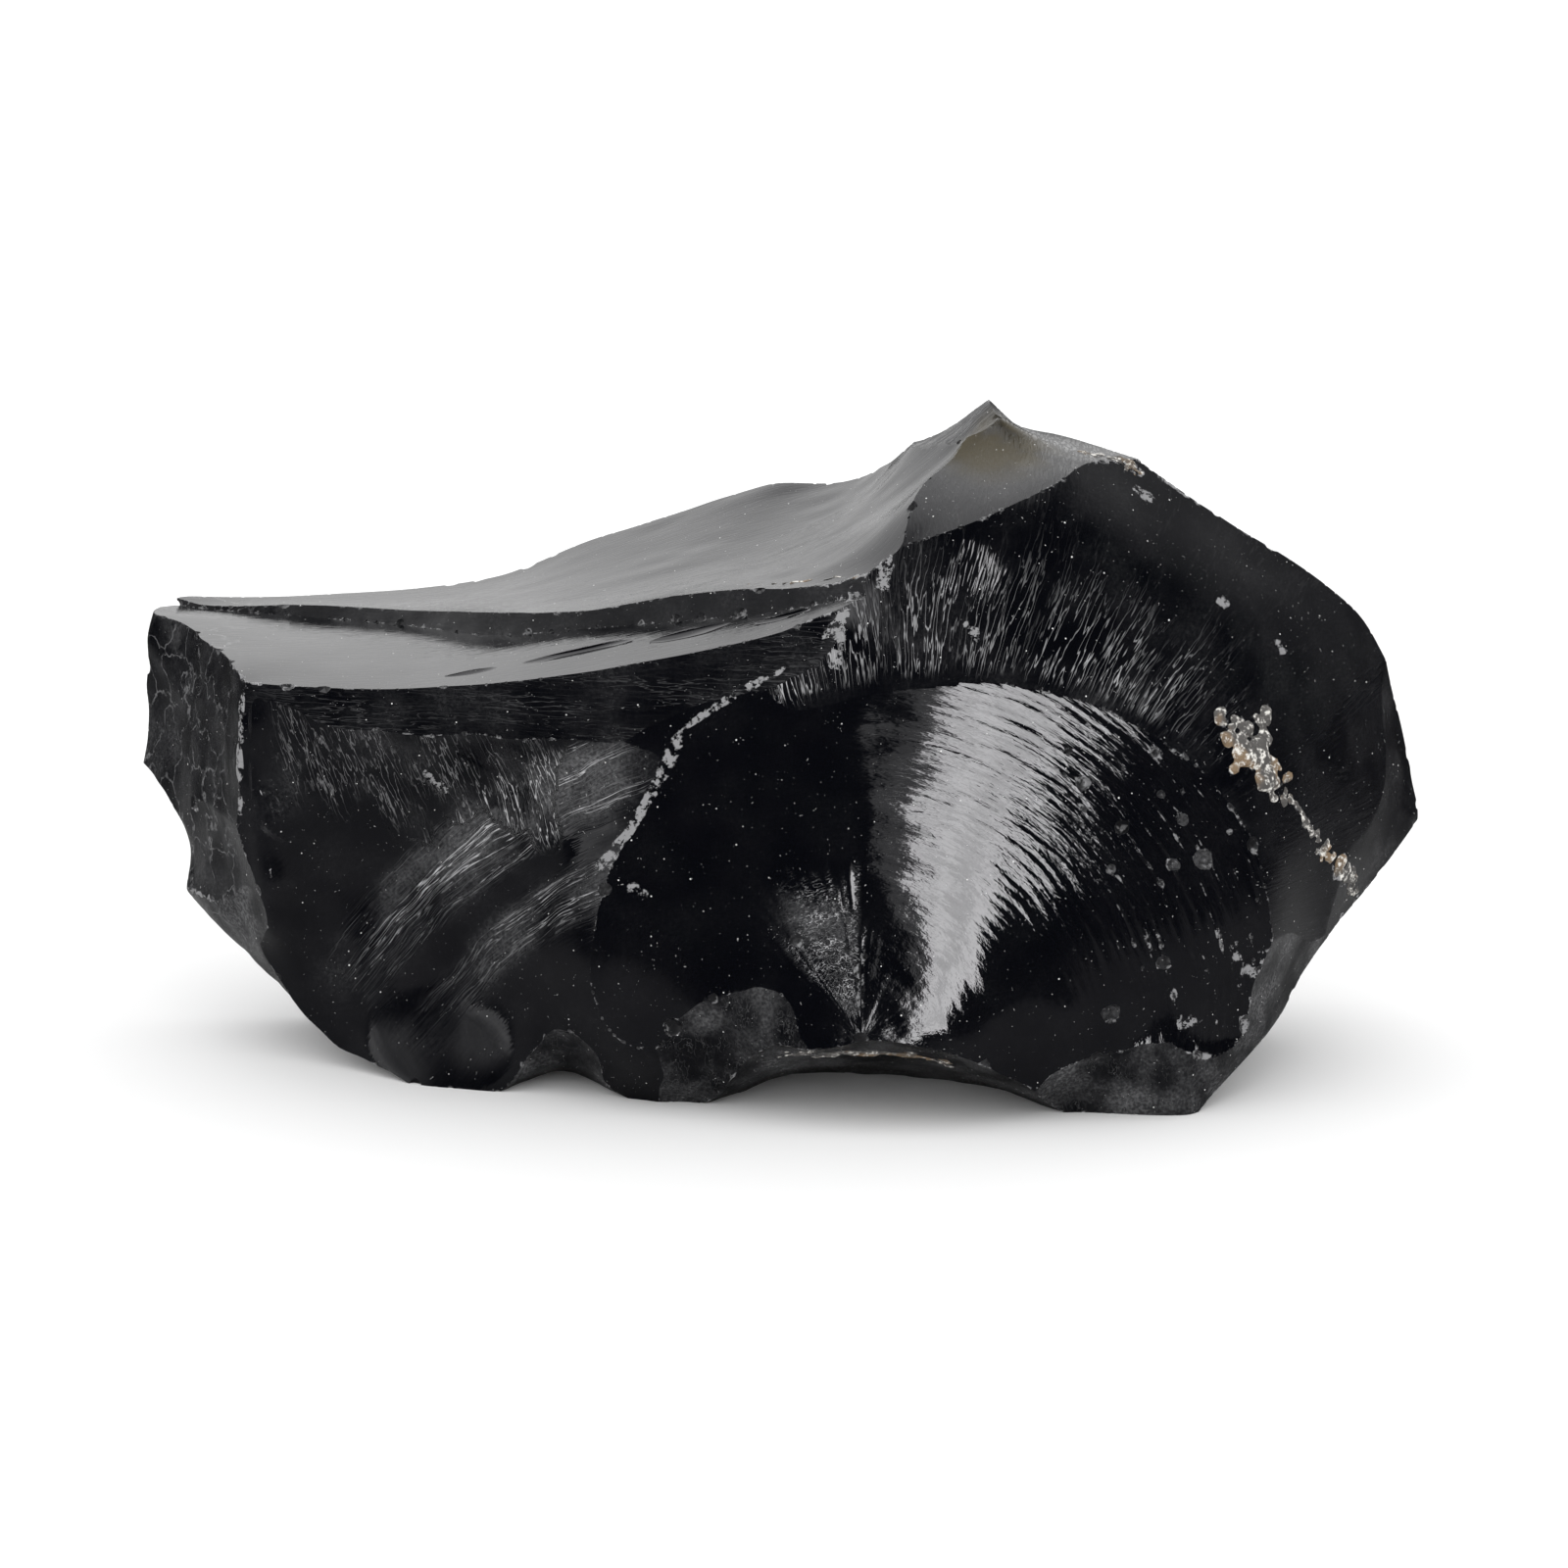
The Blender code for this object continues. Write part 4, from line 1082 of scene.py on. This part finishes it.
# Pale ridges: crushed glass, and along the slivers painted highlights.
pale_edge_and_glint = finish.times(ridge, finish.step(broken, 0.44, 0.62, 0.0, 1.3))
pale_edge_and_glint = finish.step(pale_edge_and_glint, 0.35, 0.9)

# Pale powder and painted sheen, from the haze of each face.
powder_and_sheen = finish.times(wear_and_sheen[1], finish.step(patches, 0.35, 0.75))
powder_and_sheen = finish.times(powder_and_sheen, finish.step(fine, 0.35, 0.75, 0.3, 1.0))
bundles = finish.noise(streaks, 0.45)
# Painted highlights: pale strands along the torn lines, where the hackle steps would catch the
# light.
hackle_glints = finish.times(finish.step(tearing, 0.80, 1.0), finish.step(wear_and_sheen[0], 0.04, 0.80))
hackle_glints = finish.times(hackle_glints, finish.step(bundles, 0.40, 0.62, 0.2, 2.0))
powder_and_sheen = finish.most(powder_and_sheen, hackle_glints)
end_side = finish.add("ShaderNodeSeparateXYZ", Vector=place).outputs[0]
end_side = finish.step(end_side, *CRACKED_END, 1.0, 0.0)
plates = finish.add(
    "ShaderNodeTexVoronoi", {"feature": "DISTANCE_TO_EDGE"}, Vector=warped, Scale=0.17
)
cracks = finish.step(plates.outputs["Distance"], 0.0, 0.035, 0.3, 0.0)
cracks = finish.times(cracks, end_side)
cracks = finish.times(cracks, finish.step(broken, 0.4, 0.6, 0.2, 1.0))
powder_and_sheen = finish.most(powder_and_sheen, cracks)
powder_and_sheen = finish.most(powder_and_sheen, finish.times(pale_edge_and_glint, 0.6))
olive = finish.vector("DISTANCE", place, OLIVE_PLACE)
olive = finish.step(olive, *OLIVE_REACH, 1.0, 0.0)
olive = finish.times(olive, finish.step(patches, 0.3, 0.6))
deep = finish.blend(olive, GLASS_BLACK, OLIVE_BROWN)
colour = finish.blend(powder_and_sheen, deep, POWDER_AND_SHEEN_GREY)
crystals = finish.noise(place, 1.6, detail=5.0, rough=0.7)
crystal_tone = finish.blend(finish.step(patches, 0.42, 0.52), MINERAL_TAN, MINERAL_GREY)
crystal_tone = finish.blend(finish.step(crystals, 0.50, 0.62), crystal_tone, MINERAL_WHITE)
colour = finish.blend(mineral, colour, crystal_tone)
dust = {"node_tree": dust_group()}
specks = finish.add("ShaderNodeGroup", dust, Place=place, Spacing=0.65, Largest=0.09)
grains = finish.add("ShaderNodeGroup", dust, Place=warped, Spacing=0.3, Largest=0.055)
grains = finish.times(grains.outputs["Specks"], 0.45)
specks = finish.most(specks.outputs["Specks"], grains)
colour = finish.blend(specks, colour, DUST_WHITE)
finish.feed(shader.inputs["Base Color"], colour)

dull = finish.times(wear_and_sheen[2], finish.step(tearing, 0.3, 0.7, 0.5, 1.3))
dull = finish.most(dull, pale_edge_and_glint)
rough = finish.step(dull, 0.0, 1.0, POLISH, DULLEST)
rough = finish.most(rough, finish.times(specks, DUST_ROUGHNESS))
rough = finish.most(rough, finish.times(mineral, MINERAL_ROUGHNESS))
finish.feed(shader.inputs["Roughness"], rough)
shader.inputs["IOR"].default_value = GLASS_IOR
shine = finish.math("MULTIPLY_ADD", wear_and_sheen[2], -SHINE_LOST, SHINE)
shine = finish.times(shine, finish.step(olive, 0.0, 1.0, 1.0, 0.5))
finish.feed(shader.inputs["Specular IOR Level"], shine)
shader.inputs["Specular Tint"].default_value = GLASS_TINT

depth = finish.times(tearing, wear_and_sheen[0])
crumbs = finish.times(pale_edge_and_glint, finish.times(fine, 0.7))
depth = finish.math("ADD", depth, crumbs)
bump = finish.add("ShaderNodeBump", Height=depth, Distance=TEAR_DEPTH * MM, Strength=1.0)
finish.feed(shader.inputs["Normal"], bump.outputs["Normal"])
whole.materials.clear()
whole.materials.append(glass)

# ---- Floor, light and camera -----------------------------------------------------------
# White paper lies under the stone. In the stone's reflections the paper has painted shade:
# it is dim, and darker away from the stone. Studio lights stand round it: a narrow bright
# softbox in front with a dim edge on its left, two wide dim ones on the left, a bright
# ceiling, and a pale backdrop that is dark towards the right.
PAPER_REACH = 3.0            # metres
PAPER_WHITE = (0.95, 0.95, 0.95, 1)
EVEN_LIGHT = 1.3             # what falls on the stone and paper from all sides
floor_mesh = bpy.data.meshes.new("floor")
sheet = bmesh.new()
bmesh.ops.create_grid(sheet, x_segments=1, y_segments=1, size=PAPER_REACH)
sheet.to_mesh(floor_mesh)
sheet.free()
floor = bpy.data.objects.new("floor", floor_mesh)
bpy.context.scene.collection.objects.link(floor)
paper = bpy.data.materials.new("floor paper")
paper.use_nodes = True
paper_nodes = Nodes(paper.node_tree)
shader = paper.node_tree.nodes["Principled BSDF"]
seen = paper_nodes.add("ShaderNodeLightPath").outputs
spot = paper_nodes.add("ShaderNodeTexCoord").outputs["Object"]
away = paper_nodes.vector("LENGTH", spot)
# Painted shade: the paper as the stone reflects it, dim and darker away from the stone.
reflected_shade = paper_nodes.step(away, 0.04, 0.28, 0.18, 0.03)
paper_tone = paper_nodes.blend(seen["Is Glossy Ray"], PAPER_WHITE, reflected_shade)
paper_nodes.feed(shader.inputs["Base Color"], paper_tone)
shader.inputs["Roughness"].default_value = 1.0
shader.inputs["Specular IOR Level"].default_value = 0.0
floor_mesh.materials.append(paper)
floor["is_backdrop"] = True

world = bpy.data.worlds.new("studio")
bpy.context.scene.world = world
world.use_nodes = True
studio = Nodes(world.node_tree)
direction = studio.add("ShaderNodeTexCoord").outputs["Generated"]
toward = studio.add("ShaderNodeSeparateXYZ", Vector=direction).outputs
turn = studio.math("ARCTAN2", toward[0], studio.times(toward[1], -1.0))
turn = studio.math("DEGREES", turn)
rise = studio.math("DEGREES", studio.math("ARCSINE", toward[2]))


def window(value, low, high, edge):
    """1 between two angles, with soft edges."""
    inside = studio.step(value, low - edge, low + edge)
    return studio.times(inside, studio.step(value, high - edge, high + edge, 1.0, 0.0))


def softbox(turns, rises, edge, glow):
    """A soft-edged light between two turns from the front and two heights, in degrees."""
    inside = studio.times(window(turn, *turns, edge), window(rise, *rises, edge))
    return studio.times(inside, glow)


creases = studio.step(studio.noise(direction, 16.0, detail=4.0), 0.32, 0.62, 0.72, 1.08)
front = studio.step(rise, 50, 80, 0.03, 2.2)    # a dark room under a bright ceiling
backdrop = studio.step(rise, -5, 45, 0.85, 1.9)
behind = studio.step(studio.math("ABSOLUTE", turn), 70, 150)
room = studio.times(behind, studio.math("SUBTRACT", backdrop, front))
room = studio.math("ADD", front, room)
dim_side = studio.times(window(turn, 70, 165, 12), studio.step(rise, 45, 70, 0.85, 0.0))
room = studio.times(room, studio.math("SUBTRACT", 1.0, dim_side))
for lamp in (
    softbox((-3.0, 9.5), (-8, 17), 0.6, 10.5),
    softbox((-5.8, -3.0), (-8, 17), 0.5, 0.8),
    softbox((-82, -52), (-12, 6), 6, 1.0),
    softbox((-130, -45), (5, 60), 10, 0.5),
):
    room = studio.math("ADD", room, studio.times(lamp, creases))
light = world.node_tree.nodes["Background"]
studio.feed(light.inputs["Strength"], room)
light.inputs["Color"].default_value = (1, 1, 1, 1)
even_light = studio.add("ShaderNodeBackground", Color=(1, 1, 1, 1), Strength=EVEN_LIGHT)
mixed = studio.add("ShaderNodeMixShader")
studio.feed(mixed.inputs[0], studio.add("ShaderNodeLightPath").outputs["Is Glossy Ray"])
studio.feed(mixed.inputs[1], even_light.outputs[0])
studio.feed(mixed.inputs[2], light.outputs[0])
studio.feed(world.node_tree.nodes["World Output"].inputs["Surface"], mixed.outputs[0])

CAMERA_LENS = 135.0
CAMERA_SENSOR = 36.0
CAMERA_DISTANCE = 0.600
CAMERA_RISE = math.radians(14.0)
AIM = Vector((0.0008, -0.0014, 0.029))
view = bpy.data.cameras.new("camera")
view.lens = CAMERA_LENS
view.sensor_width = CAMERA_SENSOR
view.clip_start = 0.01
camera = bpy.data.objects.new("camera", view)
bpy.context.scene.collection.objects.link(camera)
back = Vector((0.0, -math.cos(CAMERA_RISE), math.sin(CAMERA_RISE)))
camera.location = AIM + back * CAMERA_DISTANCE
camera.rotation_euler = back.to_track_quat("Z", "Y").to_euler()
bpy.context.scene.camera = camera
bpy.context.scene.view_settings.view_transform = "Standard"

boxes = {"solid": solid_box, "looks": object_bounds()}
boxes = {name: [list(side) for side in box] for name, box in boxes.items()}
